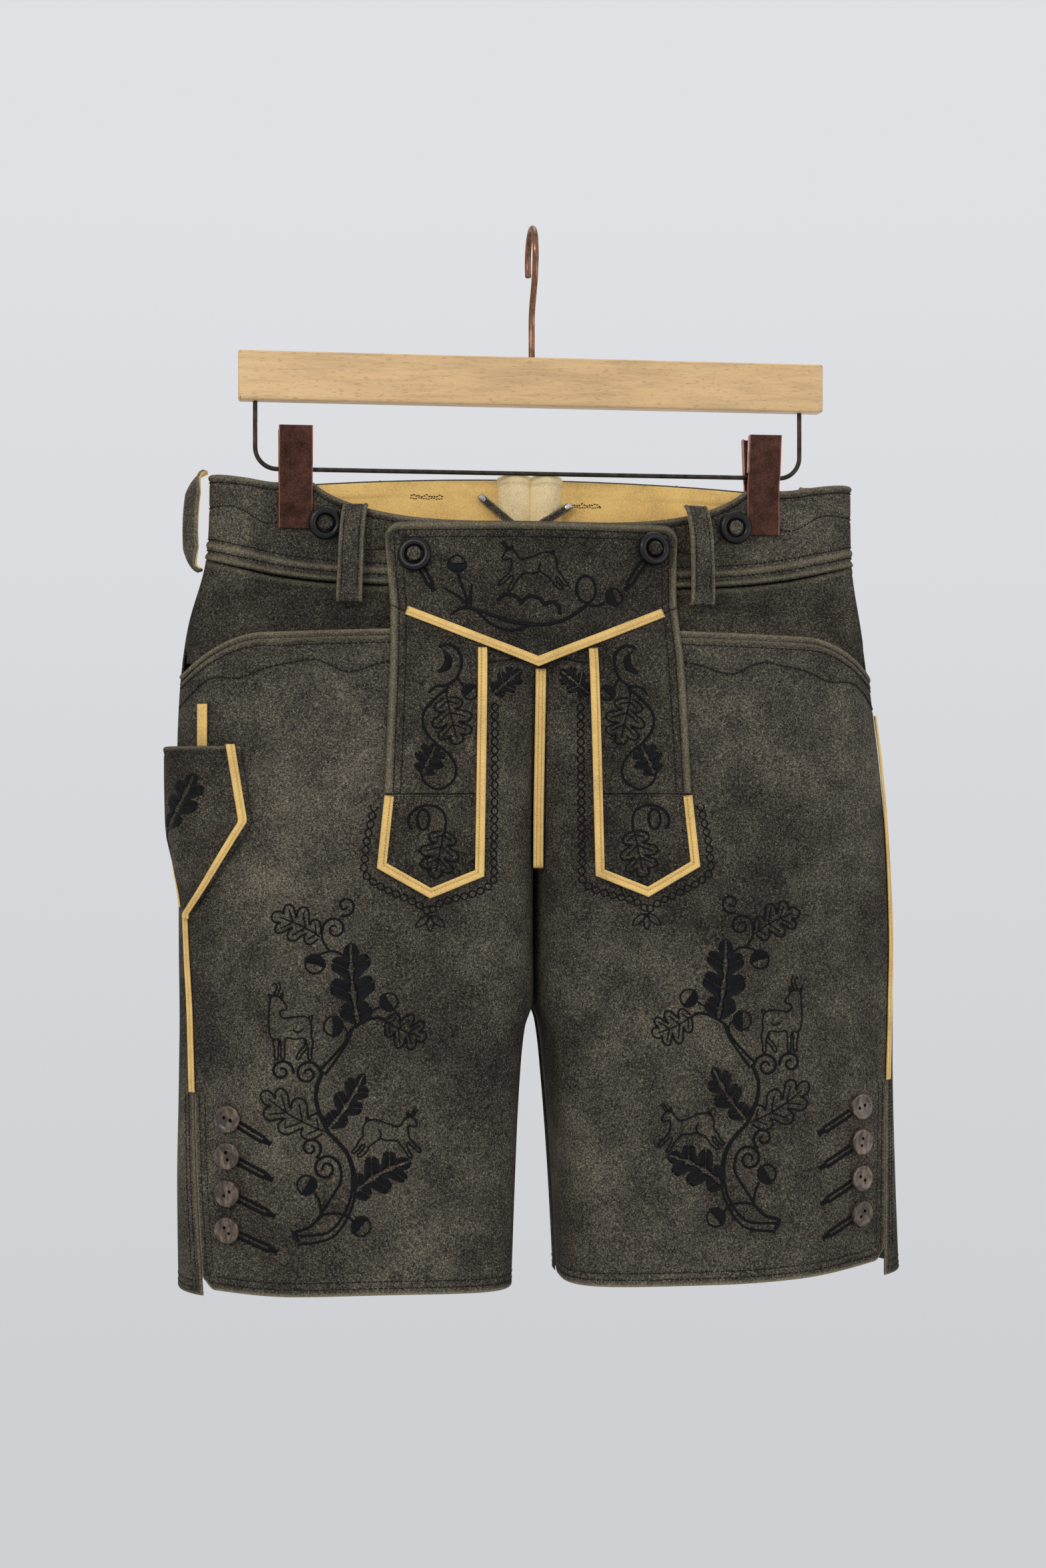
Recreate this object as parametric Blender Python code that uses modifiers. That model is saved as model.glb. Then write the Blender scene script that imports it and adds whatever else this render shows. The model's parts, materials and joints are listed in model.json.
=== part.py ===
"""Lederhosen hanging from a clip hanger: short leather breeches with a front flap.

Metres, +Z up.  The origin is the inside of the hanger hook's bend, where it rests on a rail.
The front faces -Y and +X is the viewer's right.  Tables and sizes are in millimetres, and
MM turns them into metres where an object is made.

The body of the breeches is one surface, point_on(side, girth, z): side is -1 or +1, girth
runs from 0 at the centre front (or inseam) through 1 at the side to 2 at the centre back.
Every panel is a stretch of that surface, thickened, and what lies on a panel is made from
the same surface moved out.
"""

import math

import bmesh
import bpy
from mathutils import Matrix, Vector

MM = 0.001

# ---------------------------------------------------------------- driving sizes (mm)
SEAM = 0.3            # gap between two sewn pieces
LEATHER = 1.8         # wall of the breeches' panels
BAND = 2.0            # wall of the waistband and the flap
FACING = 1.0          # chamois facing inside the band
PIPING = 1.5          # height of a piping above what it lies on
PIPING_WIDTH = 6.0
NEAR_CENTRE, NEAR_SIDE = 0.055, 0.012     # share of a panel's girth beside its edges

CLIP_X = 155.0        # middle of each clip
CLIP_FLAT = 12.0      # half-width of the stretch that a clip presses flat
PINCH_FRONT = 4.5     # depth of the front and the back where a clip holds them
PINCH_BACK = 3.5
BULGE_FRONT = 30.0    # how far the front sags forward between the clips
BULGE_BACK = 9.0
PINCH_ENDS = (-205.0, -290.0)   # the clips' hold fades between these levels

TOP_CLIP, TOP_SIDE = -168.0, -164.0       # top edge at the clips and at the sides
TOP_SAG, TOP_RISE = 26.5, 6.5             # how far it drops in front and rises behind
BAND_LOW_SIDE, BAND_LOW_DROP = -218.0, 18.0
HIP_LOW, HIP_RISE = -312.0, 26.0
MOUTH = -264.0        # pocket mouth
HEM_FRONT, HEM_BACK = -685.0, -687.0
SLIT_TOP = -559.0

FRONT_POWER = 2.3     # squareness of a leg's section outside and inside its crest
INNER_POWER = 5.0
SEAT_POWER = 3.0

# Levels of the body: half-widths at the left and right side, depth of the front and back
# crests, of the centre seams in front and behind, half the gap between the legs, and depth
# of the inseam.
LEVEL_NAMES = ("left", "right", "front", "back", "seam_front", "seam_back", "gap", "inseam")
LEVELS = (
    # z      left   right  front  back  seam_f seam_b  gap  inseam
    (-150.0, 210.0, 216.0, -36.0, 14.0, -35.5, 13.5, 0.0, 0.0),
    (-218.0, 212.5, 217.0, -38.0, 24.0, -37.0, 23.0, 0.0, 5.0),
    (-262.0, 224.0, 223.0, -44.0, 34.0, -41.0, 31.0, 0.0, 10.0),
    (-300.0, 229.0, 228.0, -49.0, 42.0, -39.0, 37.0, 0.0, 20.0),
    (-350.0, 231.0, 234.0, -52.0, 48.0, -27.0, 41.0, 0.0, 26.0),
    (-415.0, 230.0, 240.0, -54.0, 52.0, -6.0, 42.0, 0.0, 30.0),
    (-465.0, 230.0, 243.0, -55.0, 53.0, 13.0, 38.0, 0.0, 30.0),
    (-505.0, 229.5, 243.5, -55.0, 54.0, 29.0, 31.0, 0.0, 30.0),
    (-522.0, 229.5, 243.5, -55.0, 54.0, 28.0, 28.0, 5.5, 28.0),
    (-560.0, 230.0, 243.5, -55.5, 54.0, 24.0, 24.0, 9.5, 24.0),
    (-620.0, 231.0, 245.0, -56.0, 54.0, 14.0, 14.0, 13.0, 14.0),
    (-700.0, 230.0, 248.0, -56.0, 54.0, 6.0, 6.0, 16.5, 6.0),
)

# Side seam between front and back: girth at each level.  It lies in front of the side.
SIDE_SEAM = ((-290.0, 0.985), (-340.0, 0.95), (-450.0, 0.90), (-559.0, 0.865), (-700.0, 0.82))

# ---------------------------------------------------------------- flap, on the front
FLAP_X = -2.5                                   # the flap hangs a little to the left
FLAP_TOP, FLAP_CORNER = -194.5, 10.0
FLAP_LIFT = 0.9                                 # clearance over the body
V_MIDDLE, V_SIDE = -286.0, -250.0
FLAP_HALF = ((-194.0, 95.5), (-250.0, 93.0), (-370.0, 98.5), (-416.0, 103.5))
STRIP_INNER = ((-270.0, 32.5), (-421.0, 35.5))
STRIP_SEAM = -370.0
TIP_INNER, TIP_POINT, TIP_OUTER = (35.5, -421.0), (69.5, -436.0), (103.5, -416.5)

# ---------------------------------------------------------------- trims
RING_RADIUS, RING_WIRE = 8.2, 2.8               # horn ring button
KNOT_RADIUS = 4.9
HEM_BUTTON_RADIUS, HEM_BUTTON_THICK = 8.3, 2.6
HEM_BUTTON_LEVELS = (-574.0, -597.0, -620.5, -643.5)
HEM_BUTTON_X = {-1: -198.0, 1: 210.0}
FLAP_BUTTONS = ((-78.5, -217.0), (74.5, -211.0))
BRACE_BUTTONS = {"front_left": (-136.0, -195.0), "front_right": (134.5, -194.0),
                 "back_left": (-62.0, -190.0), "back_right": (62.0, -190.0)}
LOOP_WIDTH, LOOP_THICK, LOOP_OUT = 17.0, 2.4, 9.5

# ---------------------------------------------------------------- hanger
BAR_LENGTH, BAR_HEIGHT, BAR_THICK = 388.0, 32.0, 12.0
BAR_MIDDLE = Vector((2.0, 0.0, -99.0))
HOOK_WIRE, HOOK_INNER = 4.2, 17.0
FRAME_WIRE, FRAME_HALF, FRAME_LEVEL, FRAME_CORNER = 3.0, 181.0, -159.0, 14.0
CLIP_WIDTH, CLIP_PLATE = 22.0, 1.2
CLIP_TOP, CLIP_LOW = -132.0, -198.0


# ================================================================ small maths
def smooth(a, b, t):
    """0 before a, 1 after b, an S curve between them."""
    s = min(1.0, max(0.0, (t - a) / (b - a)))
    return s * s * (3.0 - 2.0 * s)


def linear(table, t):
    """Value at t in rows of (level, value), levels falling; ends are held."""
    if t >= table[0][0]:
        return table[0][1]
    for (t0, v0), (t1, v1) in zip(table, table[1:]):
        if t >= t1:
            return v0 + (v1 - v0) * (t0 - t) / (t0 - t1)
    return table[-1][1]


def level(z):
    """The body's sizes at height z: a smooth curve through the rows of LEVELS."""
    z = min(LEVELS[0][0], max(LEVELS[-1][0], z))
    i = next(k for k in range(len(LEVELS) - 1) if z >= LEVELS[k + 1][0])
    rows = [LEVELS[min(len(LEVELS) - 1, max(0, i + k))] for k in (-1, 0, 1, 2)]
    span = rows[2][0] - rows[1][0]
    t = (z - rows[1][0]) / span
    sizes = {}
    for column, name in enumerate(LEVEL_NAMES, start=1):
        slopes = []
        for low, high in ((0, 2), (1, 3)):
            run = rows[high][0] - rows[low][0]
            slopes.append((rows[high][column] - rows[low][column]) / run * span)
        p, q = rows[1][column], rows[2][column]
        sizes[name] = (p * (2 * t**3 - 3 * t**2 + 1) + slopes[0] * (t**3 - 2 * t**2 + t)
                       + q * (3 * t**2 - 2 * t**3) + slopes[1] * (t**3 - t**2))
    return sizes


# ================================================================ the body's surface
def waist_depth(x, side_x, front):
    """Depth of the waist as the two clips hold it: a sag between them, a small loop outside."""
    pinch, bulge = (-PINCH_FRONT, -BULGE_FRONT) if front else (PINCH_BACK, BULGE_BACK)
    inner_end, outer_end = CLIP_X - CLIP_FLAT, CLIP_X + CLIP_FLAT
    if x < inner_end:
        return pinch + bulge * (1.0 - (x / inner_end) ** 2) ** 1.3
    if x < outer_end:
        return pinch
    t = min(1.0, (x - outer_end) / (side_x - outer_end))
    swell = 7.5 * smooth(0.0, 0.45, t)
    return math.copysign(abs(pinch) + swell, pinch) * math.sqrt(max(0.0, 1.0 - t**4))


def depth(side, x, z, front):
    """Depth y of the outer surface at distance x from the centre, on the front or the back."""
    s = level(z)
    side_x = s["left"] if side < 0 else s["right"]
    crest = (side_x + s["gap"]) / 2.0
    face = s["front"] if front else s["back"]
    if x >= crest:
        share = min(1.0, (x - crest) / (side_x - crest))
        y = face * (1.0 - share**FRONT_POWER) ** (1.0 / FRONT_POWER)
    else:
        seam = s["seam_front"] if front else s["seam_back"]
        power = INNER_POWER if front else SEAT_POWER
        closing = max(0.0, (seam - s["inseam"]) / (face - s["inseam"]))
        reach = (crest - s["gap"]) / (1.0 - closing**power) ** (1.0 / power)
        share = min(1.0, (crest - x) / reach)
        y = s["inseam"] + (face - s["inseam"]) * (1.0 - share**power) ** (1.0 / power)
    hold = smooth(PINCH_ENDS[1], PINCH_ENDS[0], z)
    return y + (waist_depth(x, side_x, front) - y) * hold


def point_on(side, girth, z, out=0.0):
    """Point of the body's surface, moved out along its normal."""
    half = min(girth, 2.0 - girth)
    s = level(z)
    side_x = s["left"] if side < 0 else s["right"]
    crest = (side_x + s["gap"]) / 2.0
    if half >= 0.5:
        x = crest + (side_x - crest) * math.sin((half - 0.5) * math.pi)
    else:
        x = crest - (crest - s["gap"]) * math.sin((0.5 - half) * math.pi)
    point = Vector((side * x, depth(side, x, z, girth < 1.0), z))
    if not out:
        return point
    step = 0.004
    along = (point_on(side, min(2.0, girth + step), z)
             - point_on(side, max(0.0, girth - step), z))
    down = point_on(side, girth, z - 1.0) - point_on(side, girth, z + 1.0)
    normal = down.cross(along) * side
    return point + normal.normalized() * out


def girth_at(side, x, z, back=False):
    """Girth of the point at distance x from the centre, at height z."""
    s = level(z)
    side_x = s["left"] if side < 0 else s["right"]
    crest = (side_x + s["gap"]) / 2.0
    if x >= crest:
        half = 0.5 + math.asin(min(1.0, (x - crest) / (side_x - crest))) / math.pi
    else:
        half = 0.5 - math.asin(min(1.0, (crest - x) / (crest - s["gap"]))) / math.pi
    return 2.0 - half if back else half


def past_seam(side, girth, z, gap=SEAM / 2.0):
    """The girth that lies gap further round than girth, along the surface."""
    step = 0.01 if gap > 0 else -0.01
    run = (point_on(side, girth + step, z) - point_on(side, girth, z)).length
    return girth + step * abs(gap) / run


def on_front(x, z, out=0.0):
    """Point of the front at signed x, moved out along the surface's normal."""
    side = -1 if x < 0 else 1

    def spot(px, pz):
        return Vector((px, depth(side, abs(px), pz, True), pz))

    point = spot(x, z)
    along = spot(x + side, z) - point
    down = spot(x, z - 1.0) - point
    return point + (down.cross(along) * side).normalized() * out


def flap_point(x, z, out=0.0):
    """Point of the flap: it follows the waist, then hangs straight over the hollow between
    the legs."""
    hold = 82.0 * smooth(-245.0, -292.0, z)
    reach = max(abs(x), hold + 0.12 * abs(x))
    y = min(depth(-1, reach, z, True), depth(1, reach, z, True))
    return Vector((x, y - FLAP_LIFT - out, z))


# ================================================================ edges of the panels
def top_edge(side, girth):
    """Height of the waist's top edge."""
    x = abs(point_on(side, girth, TOP_CLIP).x)
    inner_end, outer_end = CLIP_X - CLIP_FLAT, CLIP_X + CLIP_FLAT
    if x >= inner_end:
        return TOP_CLIP + (TOP_SIDE - TOP_CLIP) * smooth(outer_end, 212.0, x)
    u = x / inner_end
    if girth < 1.0:
        return TOP_CLIP - TOP_SAG * (1.0 - u**3.2) ** 0.8
    return TOP_CLIP + TOP_RISE * (1.0 - u * u)


def band_edge(side, girth):
    """Height of the seam under the waistband."""
    share = abs(point_on(side, girth, BAND_LOW_SIDE).x) / 214.0
    drop = BAND_LOW_DROP if girth < 1.0 else 4.0
    return BAND_LOW_SIDE - drop * max(0.0, 1.0 - share**3)


def mouth_edge(girth):
    """Height of a front's top edge, the pocket mouth, which rounds down to the side seam."""
    return MOUTH - 3.0 * smooth(0.4, 0.75, girth) - 26.0 * smooth(0.70, 0.99, girth)


def hem_edge(side, girth):
    """Height of a front's hem, which rounds up into the side slit."""
    sway = -2.0 * smooth(0.5, 0.0, girth) if side < 0 else 6.5 * smooth(0.45, 0.85, girth)
    return HEM_FRONT + sway + 2.5 * smooth(0.6, 0.8, girth) + 8.0 * smooth(0.785, 0.835, girth)


# ================================================================ Blender helpers
def clear_scene():
    for item in list(bpy.data.objects):
        bpy.data.objects.remove(item, do_unlink=True)


def new_material(name, colour, roughness, metallic=0.0):
    material = bpy.data.materials.new(name)
    material.use_nodes = True
    shader = material.node_tree.nodes["Principled BSDF"]
    shader.inputs["Base Color"].default_value = (*colour, 1.0)
    shader.inputs["Roughness"].default_value = roughness
    shader.inputs["Metallic"].default_value = metallic
    return material


def add_object(name, data, material):
    piece = bpy.data.objects.new(name, data)
    bpy.data.collections["lederhosen"].objects.link(piece)
    piece.data.materials.append(material)
    return piece


def add_mesh(name, builder, material, smooth_faces=False):
    """Object from a bmesh in millimetres."""
    bmesh.ops.scale(builder, vec=(MM, MM, MM), verts=builder.verts)
    mesh = bpy.data.meshes.new(name)
    builder.to_mesh(mesh)
    builder.free()
    if smooth_faces:
        mesh.shade_smooth()
    return add_object(name, mesh, material)


def add_cloth(name, rows, thickness, material, side=1):
    """A thickened sheet.  rows[i][j] is a point; i runs round (or to the viewer's right when
    side is 1) and j runs down.  Positive thickness grows outwards, negative inwards."""
    builder = bmesh.new()
    grid = [[builder.verts.new(point) for point in row] for row in rows]
    for left, right in zip(grid, grid[1:]):
        for j in range(len(left) - 1):
            corners = [left[j], left[j + 1], right[j + 1], right[j]]
            builder.faces.new(corners if side > 0 else corners[::-1])
    piece = add_mesh(name, builder, material)
    solid = piece.modifiers.new("wall", "SOLIDIFY")
    solid.thickness = abs(thickness) * MM
    solid.offset = math.copysign(1.0, thickness)
    return piece


def between(a, b, count):
    """count + 1 evenly spaced values from a to b."""
    return [a + (b - a) * i / count for i in range(count + 1)]


def columns(count, first, last):
    """Shares 0 to 1 across a panel, with one more close to each end, so that the wall's rims
    stand square to the surface."""
    return [0.0, first, *between(0.0, 1.0, count)[1:-1], 1.0 - last, 1.0]


def add_tube(name, points, diameter, material, resolution=2):
    """A round wire along points."""
    curve = bpy.data.curves.new(name, "CURVE")
    curve.dimensions = "3D"
    curve.bevel_depth = diameter / 2.0 * MM
    curve.bevel_resolution = resolution
    curve.use_fill_caps = True
    spline = curve.splines.new("POLY")
    spline.points.add(len(points) - 1)
    for target, point in zip(spline.points, points):
        target.co = (*(Vector(point) * MM), 1.0)
    return add_object(name, curve, material)


def add_ribbon(name, path, width, place, thickness, material):
    """A flat strip along a path of (x, z) points, mitred at its corners.  place turns an
    (x, z) point into a point in space, on the strip's underside."""
    flat = [Vector(point) for point in path]
    rows = []
    for i, here in enumerate(flat):
        before = (here - flat[i - 1]).normalized() if i else None
        after = (flat[i + 1] - here).normalized() if i + 1 < len(flat) else None
        if before is None:
            before = after
        if after is None:
            after = before
        middle = (before + after).normalized()
        across = Vector((middle.y, -middle.x))
        reach = width / 2.0 / max(0.35, across.dot(Vector((before.y, -before.x))))
        rows.append([place(*(here + across * reach)), place(*(here - across * reach))])
    return add_cloth(name, rows, thickness, material, -1)


def subdivide(path, longest=14.0):
    """The path with extra points on its long legs, so that it can follow a curved surface."""
    points = [path[0]]
    for start, end in zip(path, path[1:]):
        run = math.dist(start, end)
        count = max(1, math.ceil(run / longest))
        for k in range(1, count + 1):
            points.append(tuple(a + (b - a) * k / count for a, b in zip(start, end)))
    return points


# ================================================================ body panels
def side_seam(z):
    return linear(SIDE_SEAM, z)


def add_front(side, name, material):
    """A leg's front: pocket mouth to hem, centre seam or inseam to the side seam."""
    rows = []
    for share in columns(14, NEAR_CENTRE, NEAR_SIDE):
        column = []
        for down in between(0.0, 1.0, 17):
            z = mouth_edge(share * 0.99) + down * (HEM_FRONT - MOUTH)
            for _ in range(3):      # the seam's girth depends on the height, and back again
                seam = side_seam(z)
                girth = share * seam
                low = hem_edge(side, girth)
                high = mouth_edge(girth / 0.985)
                z = high + (low - high) * down
            girth = min(girth, past_seam(side, seam, z, -2.0 * SEAM))
            if share == 0.0:
                girth = past_seam(side, 0.0, z)
            column.append(at_least_off_centre(side, point_on(side, girth, z)))
        rows.append(column)
    return add_cloth(name, rows, -LEATHER, material, side)


def at_least_off_centre(side, point):
    """Keeps a seam's gap to the plane between the two halves."""
    if side * point.x < SEAM:
        point.x = side * SEAM
    return point


def add_back(side, name, material):
    """A leg's back and seat: waistband to hem, side seam round to the centre back or inseam."""
    rows = []
    for share in columns(16, NEAR_SIDE, NEAR_CENTRE):
        column = []
        for down in between(0.0, 1.0, 18):
            z = BAND_LOW_SIDE + down * (HEM_BACK - BAND_LOW_SIDE)
            for _ in range(3):
                seam = side_seam(z)
                girth = seam + (2.0 - seam) * share
                high = band_edge(side, max(1.0, girth)) - SEAM
                z = high + (HEM_BACK - high) * down
            girth = max(girth, past_seam(side, seam, z))
            if share == 1.0:
                girth = past_seam(side, 2.0, z, -SEAM / 2.0)
            column.append(at_least_off_centre(side, point_on(side, girth, z)))
        rows.append(column)
    return add_cloth(name, rows, -LEATHER, material, side)


def hip_recess(girth, z):
    """How far a hip piece lies behind the front's surface: most at the pocket's mouth."""
    deep = smooth(-232.0, MOUTH, z) * smooth(0.06, 0.3, girth) * smooth(0.96, 0.75, girth)
    return (LEATHER + 2.0 * SEAM) * smooth(0.975, 0.92, girth) + 7.2 * deep


def add_hip(side, name, material):
    """Hip piece: waistband to behind the pocket mouth, centre front to the side seam."""
    rows = []
    for share in columns(13, NEAR_CENTRE, NEAR_SIDE):
        column = []
        for down in between(0.0, 1.0, 6):
            girth = share * side_seam(HIP_LOW)
            high = band_edge(side, girth) - SEAM
            low = HIP_LOW + HIP_RISE * smooth(0.78, 0.93, girth)
            z = high + (low - high) * down
            girth = min(girth, past_seam(side, side_seam(z), z, -SEAM))
            point = point_on(side, girth, z, -hip_recess(girth, z))
            column.append(at_least_off_centre(side, point))
        rows.append(column)
    return add_cloth(name, rows, -LEATHER, material, side)


def band_girths(side):
    """Girths across a half of the band: close together where the clip presses it flat and at
    the small loop beyond the clip."""
    z = BAND_LOW_SIDE
    near = girth_at(side, CLIP_X - CLIP_FLAT, z)
    far = girth_at(side, CLIP_X + CLIP_FLAT, z)
    girths = [0.0, NEAR_CENTRE, *between(0.0, near, 9)[1:], *between(far, 1.0, 6)]
    end = girth_at(side, GUSSET_HALF + 2.0 * SEAM, z, True)
    girths += [2.0 - girth for girth in between(far, 1.0, 6)[-2::-1]]
    girths += [*between(2.0 - near, end, 7)[:-1], end - 0.01, end]
    return girths


def add_band(side, name, thickness, inset, material):
    """Waistband or its facing: centre front round to the gusset at the back."""
    rows = []
    for girth in band_girths(side):
        column = []
        for down in between(0.0, 1.0, 3):
            high = top_edge(side, girth) - inset * 0.5
            low = band_edge(side, girth)
            z = high + (low - high) * down
            end = girth_at(side, GUSSET_HALF + 2.0 * SEAM, z, True)
            point = point_on(side, min(girth, end), z, -inset)
            column.append(at_least_off_centre(side, point))
        rows.append(column)
    return add_cloth(name, rows, -thickness, material, side)


GUSSET_HALF, GUSSET_ROLL = 19.0, 5.0
GUSSET_TOP, GUSSET_LOW = -161.0, -221.0


def add_gusset(material):
    """The folded gusset: two soft rolls between the ends of the waistband."""
    rows = []
    for x in between(-GUSSET_HALF, GUSSET_HALF, 12):
        roll = GUSSET_ROLL * math.sin(math.pi * x / GUSSET_HALF) ** 2
        column = []
        for down in between(0.0, 1.0, 3):
            z = GUSSET_TOP + (GUSSET_LOW - GUSSET_TOP) * down
            y = depth(1, abs(x), z, False)
            column.append(Vector((x, y - roll * (1.0 - 0.6 * down), z)))
        rows.append(column)
    return add_cloth("gusset", rows[::-1], -LEATHER, material, 1)


def add_lace(material):
    """The gusset's thong: its two free ends stand up in a V in front of the gusset."""
    path = subdivide([(-32.0, -175.0), (-17.0, -188.0), (-4.0, -197.0), (9.0, -190.0),
                      (25.0, -180.0)], 8.0)

    def place(x, z):
        return Vector((x, 2.6 + 0.0035 * x * x, z))

    return add_ribbon("lace", path, 5.0, place, -1.4, material)


# ================================================================ flap
def flap_half(z):
    return linear(FLAP_HALF, z)


def v_line(share):
    """Height of the V seam across the flap; share is 0 in the middle and 1 at an edge."""
    return V_MIDDLE + (V_SIDE - V_MIDDLE) * abs(share)


def add_flap_top(material):
    shares = [-1.0, -0.985, -0.95, -0.9, -0.75, -0.6, -0.4, -0.2, 0.0]
    shares += [-share for share in reversed(shares[:-1])]
    rows = []
    for share in shares:
        away = max(0.0, abs(share) * 95.5 - (95.5 - FLAP_CORNER))
        top = FLAP_TOP - FLAP_CORNER + math.sqrt(max(0.0, FLAP_CORNER**2 - away**2))
        column = []
        for down in between(0.0, 1.0, 6):
            z = top + (v_line(share) + SEAM / 2.0 - top) * down
            column.append(flap_point(FLAP_X + share * flap_half(z), z))
        rows.append(column)
    return add_cloth("flap_top", rows, BAND, material, 1)


def strip_x(side, share, z):
    """x across a strip: share is 0 at its inner edge and 1 at its outer edge."""
    inner = linear(STRIP_INNER, z)
    return FLAP_X + side * (inner + (flap_half(z) - inner) * share)


def add_strip(side, name, material):
    """A hanging strip, from the V seam to the seam above its tip."""
    rows = []
    for share in between(0.0, 1.0, 6):
        column = []
        for down in between(0.0, 1.0, 8):
            away = (32.5 + 61.0 * share) / 93.5
            high = v_line(away) - SEAM / 2.0
            z = high + (STRIP_SEAM + SEAM / 2.0 - high) * down
            column.append(flap_point(strip_x(side, share, z), z))
        rows.append(column)
    return add_cloth(name, rows, BAND, material, side)


def tip_edge(share):
    """Height of the pointed lower edge of a strip."""
    middle = 0.5
    if share < middle:
        return TIP_INNER[1] + (TIP_POINT[1] - TIP_INNER[1]) * share / middle
    return TIP_POINT[1] + (TIP_OUTER[1] - TIP_POINT[1]) * (share - middle) / (1.0 - middle)


def add_tip(side, name, material):
    rows = []
    for share in between(0.0, 1.0, 6):
        column = []
        high = STRIP_SEAM - SEAM / 2.0
        for down in between(0.0, 1.0, 5):
            z = high + (tip_edge(share) - high) * down
            column.append(flap_point(strip_x(side, share, z), z))
        rows.append(column)
    return add_cloth(name, rows, BAND, material, side)


def on_flap(x, z):
    """Underside of what lies on the flap."""
    return flap_point(x, z, BAND + 2.0 * SEAM)


def add_flap_pipings(material):
    near = PIPING_WIDTH / 2.0
    v_path = subdivide([(FLAP_X - 83.0, v_line(83.0 / 93.5)), (FLAP_X, V_MIDDLE),
                        (FLAP_X + 83.0, v_line(83.0 / 93.5))])
    add_ribbon("piping_v", v_path, PIPING_WIDTH, on_flap, PIPING, material)
    for side, word in ((-1, "left"), (1, "right")):
        outline = [(32.6 + near, -277.5), (TIP_INNER[0] + near, TIP_INNER[1] + 1.0),
                   (TIP_POINT[0], TIP_POINT[1] + near + 0.6),
                   (TIP_OUTER[0] - near - 0.3, TIP_OUTER[1] + 1.6),
                   (flap_half(STRIP_SEAM) - near, STRIP_SEAM - 1.0)]
        path = subdivide([(FLAP_X + side * x, z) for x, z in outline])
        if side > 0:
            path.reverse()
        add_ribbon(f"piping_strip_{word}", path, PIPING_WIDTH, on_flap, PIPING, material)


# ================================================================ pipings on the body
def add_centre_piping(material):
    """Piping on the centre front seam, in the hollow between the legs."""
    half = 3.4
    rows = []
    for x in (-half, 0.0, half):
        rows.append([Vector((x, depth(1, half + 1.0, z, True) - 1.4, z))
                     for z in between(-289.5, -418.0, 9)])
    add_cloth("piping_centre", rows, PIPING, material, 1)


def add_side_pipings(material):
    for side, word, top in ((-1, "left", -449.0), (1, "right", -318.0)):
        rows = []
        for offset in (-2.6, 2.6):
            column = []
            for z in between(top, SLIT_TOP, 9):
                girth = past_seam(side, side_seam(z), z, offset)
                column.append(point_on(side, girth, z, 0.8))
            rows.append(column)
        add_cloth(f"piping_side_{word}", rows, PIPING, material, side)


# ================================================================ knife pocket
KNIFE_TOP, KNIFE_MIDDLE, KNIFE_TIP = -340.0, -387.0, -446.0
KNIFE_INNER = ((-340.0, 191.0), (-387.0, 183.5), (-446.0, 219.5))
KNIFE_OUTER = 1.02      # girth of its rear edge at the top


def knife_girth(share, z):
    """Girth across the pocket: share is 0 at its inner edge and 1 at its rear edge."""
    inner = girth_at(-1, linear(KNIFE_INNER, z), z)
    outer = KNIFE_OUTER + (side_seam(KNIFE_TIP) + 0.02 - KNIFE_OUTER) * smooth(
        KNIFE_MIDDLE - 6.0, KNIFE_TIP, z)
    return inner + (outer - inner) * share


def knife_lift(share, z):
    """Clearance over the leg: the pocket stands open at its mouth."""
    fullness = math.sin(math.pi * min(1.0, max(0.0, share))) ** 0.6
    return 1.2 + 8.6 * fullness * smooth(-436.0, -385.0, z)


def add_knife_pocket(leather, yellow):
    rows = [[point_on(-1, knife_girth(share, z), z, knife_lift(share, z))
             for z in between(KNIFE_TOP, KNIFE_TIP + 4.0, 8)]
            for share in between(0.0, 1.0, 7)]
    add_cloth("knife_pocket", rows, LEATHER, leather, -1)
    levels = [KNIFE_TOP + 1.0, -355.0, -371.0, KNIFE_MIDDLE, -400.0, -413.0, -426.0, KNIFE_TIP - 3.0]
    rows = []
    for edge in (-1.0, 1.0):
        column = []
        for z in levels:
            girth = past_seam(-1, knife_girth(0.0, z), z, edge * 2.8 + 3.2)
            base = knife_lift(0.10, z) + LEATHER + SEAM + 0.8
            column.append(point_on(-1, girth, z, base))
        rows.append(column)
    add_cloth("knife_piping", rows, PIPING, yellow, -1)
    rows = []
    for x in (-216.5, -210.5):
        rows.append([point_on(-1, girth_at(-1, -x, z), z, 1.0)
                     for z in between(-313.0, -352.0, 3)])
    add_cloth("knife_strap", rows[::-1], 1.6, yellow, -1)


# ================================================================ belt loops
def add_loop(name, side, girth, high, low, material):
    """A belt loop: a strap that leaves the band, stands off it and returns below it."""
    rows = []
    for edge in (-0.5, 0.5):
        column = []
        for t in between(0.0, 1.0, 12):
            z = high + (low - high) * t
            turn = past_seam(side, girth, z, edge * LOOP_WIDTH)
            column.append(point_on(side, turn, z, 0.9 + loop_rise(t)))
        rows.append(column)
    return add_cloth(name, rows, LOOP_THICK, material, side)


def loop_rise(t):
    """How far a loop stands off the cloth, t of the way from its top to its bottom."""
    return LOOP_OUT * min(1.0, 1.05 * math.sqrt(math.sin(math.pi * t)))


def add_fold_loop(name, side, high, low, material):
    """A belt loop at the side, where the band folds: flat across the fold."""
    rows = []
    for edge in (-0.5, 0.5):
        column = []
        for t in between(0.0, 1.0, 12):
            z = high + (low - high) * t
            fold = level(z)["left" if side < 0 else "right"]
            column.append(Vector((side * (fold + 1.0 + loop_rise(t)), edge * LOOP_WIDTH, z)))
        rows.append(column)
    return add_cloth(name, rows, LOOP_THICK, material, side)


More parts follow.
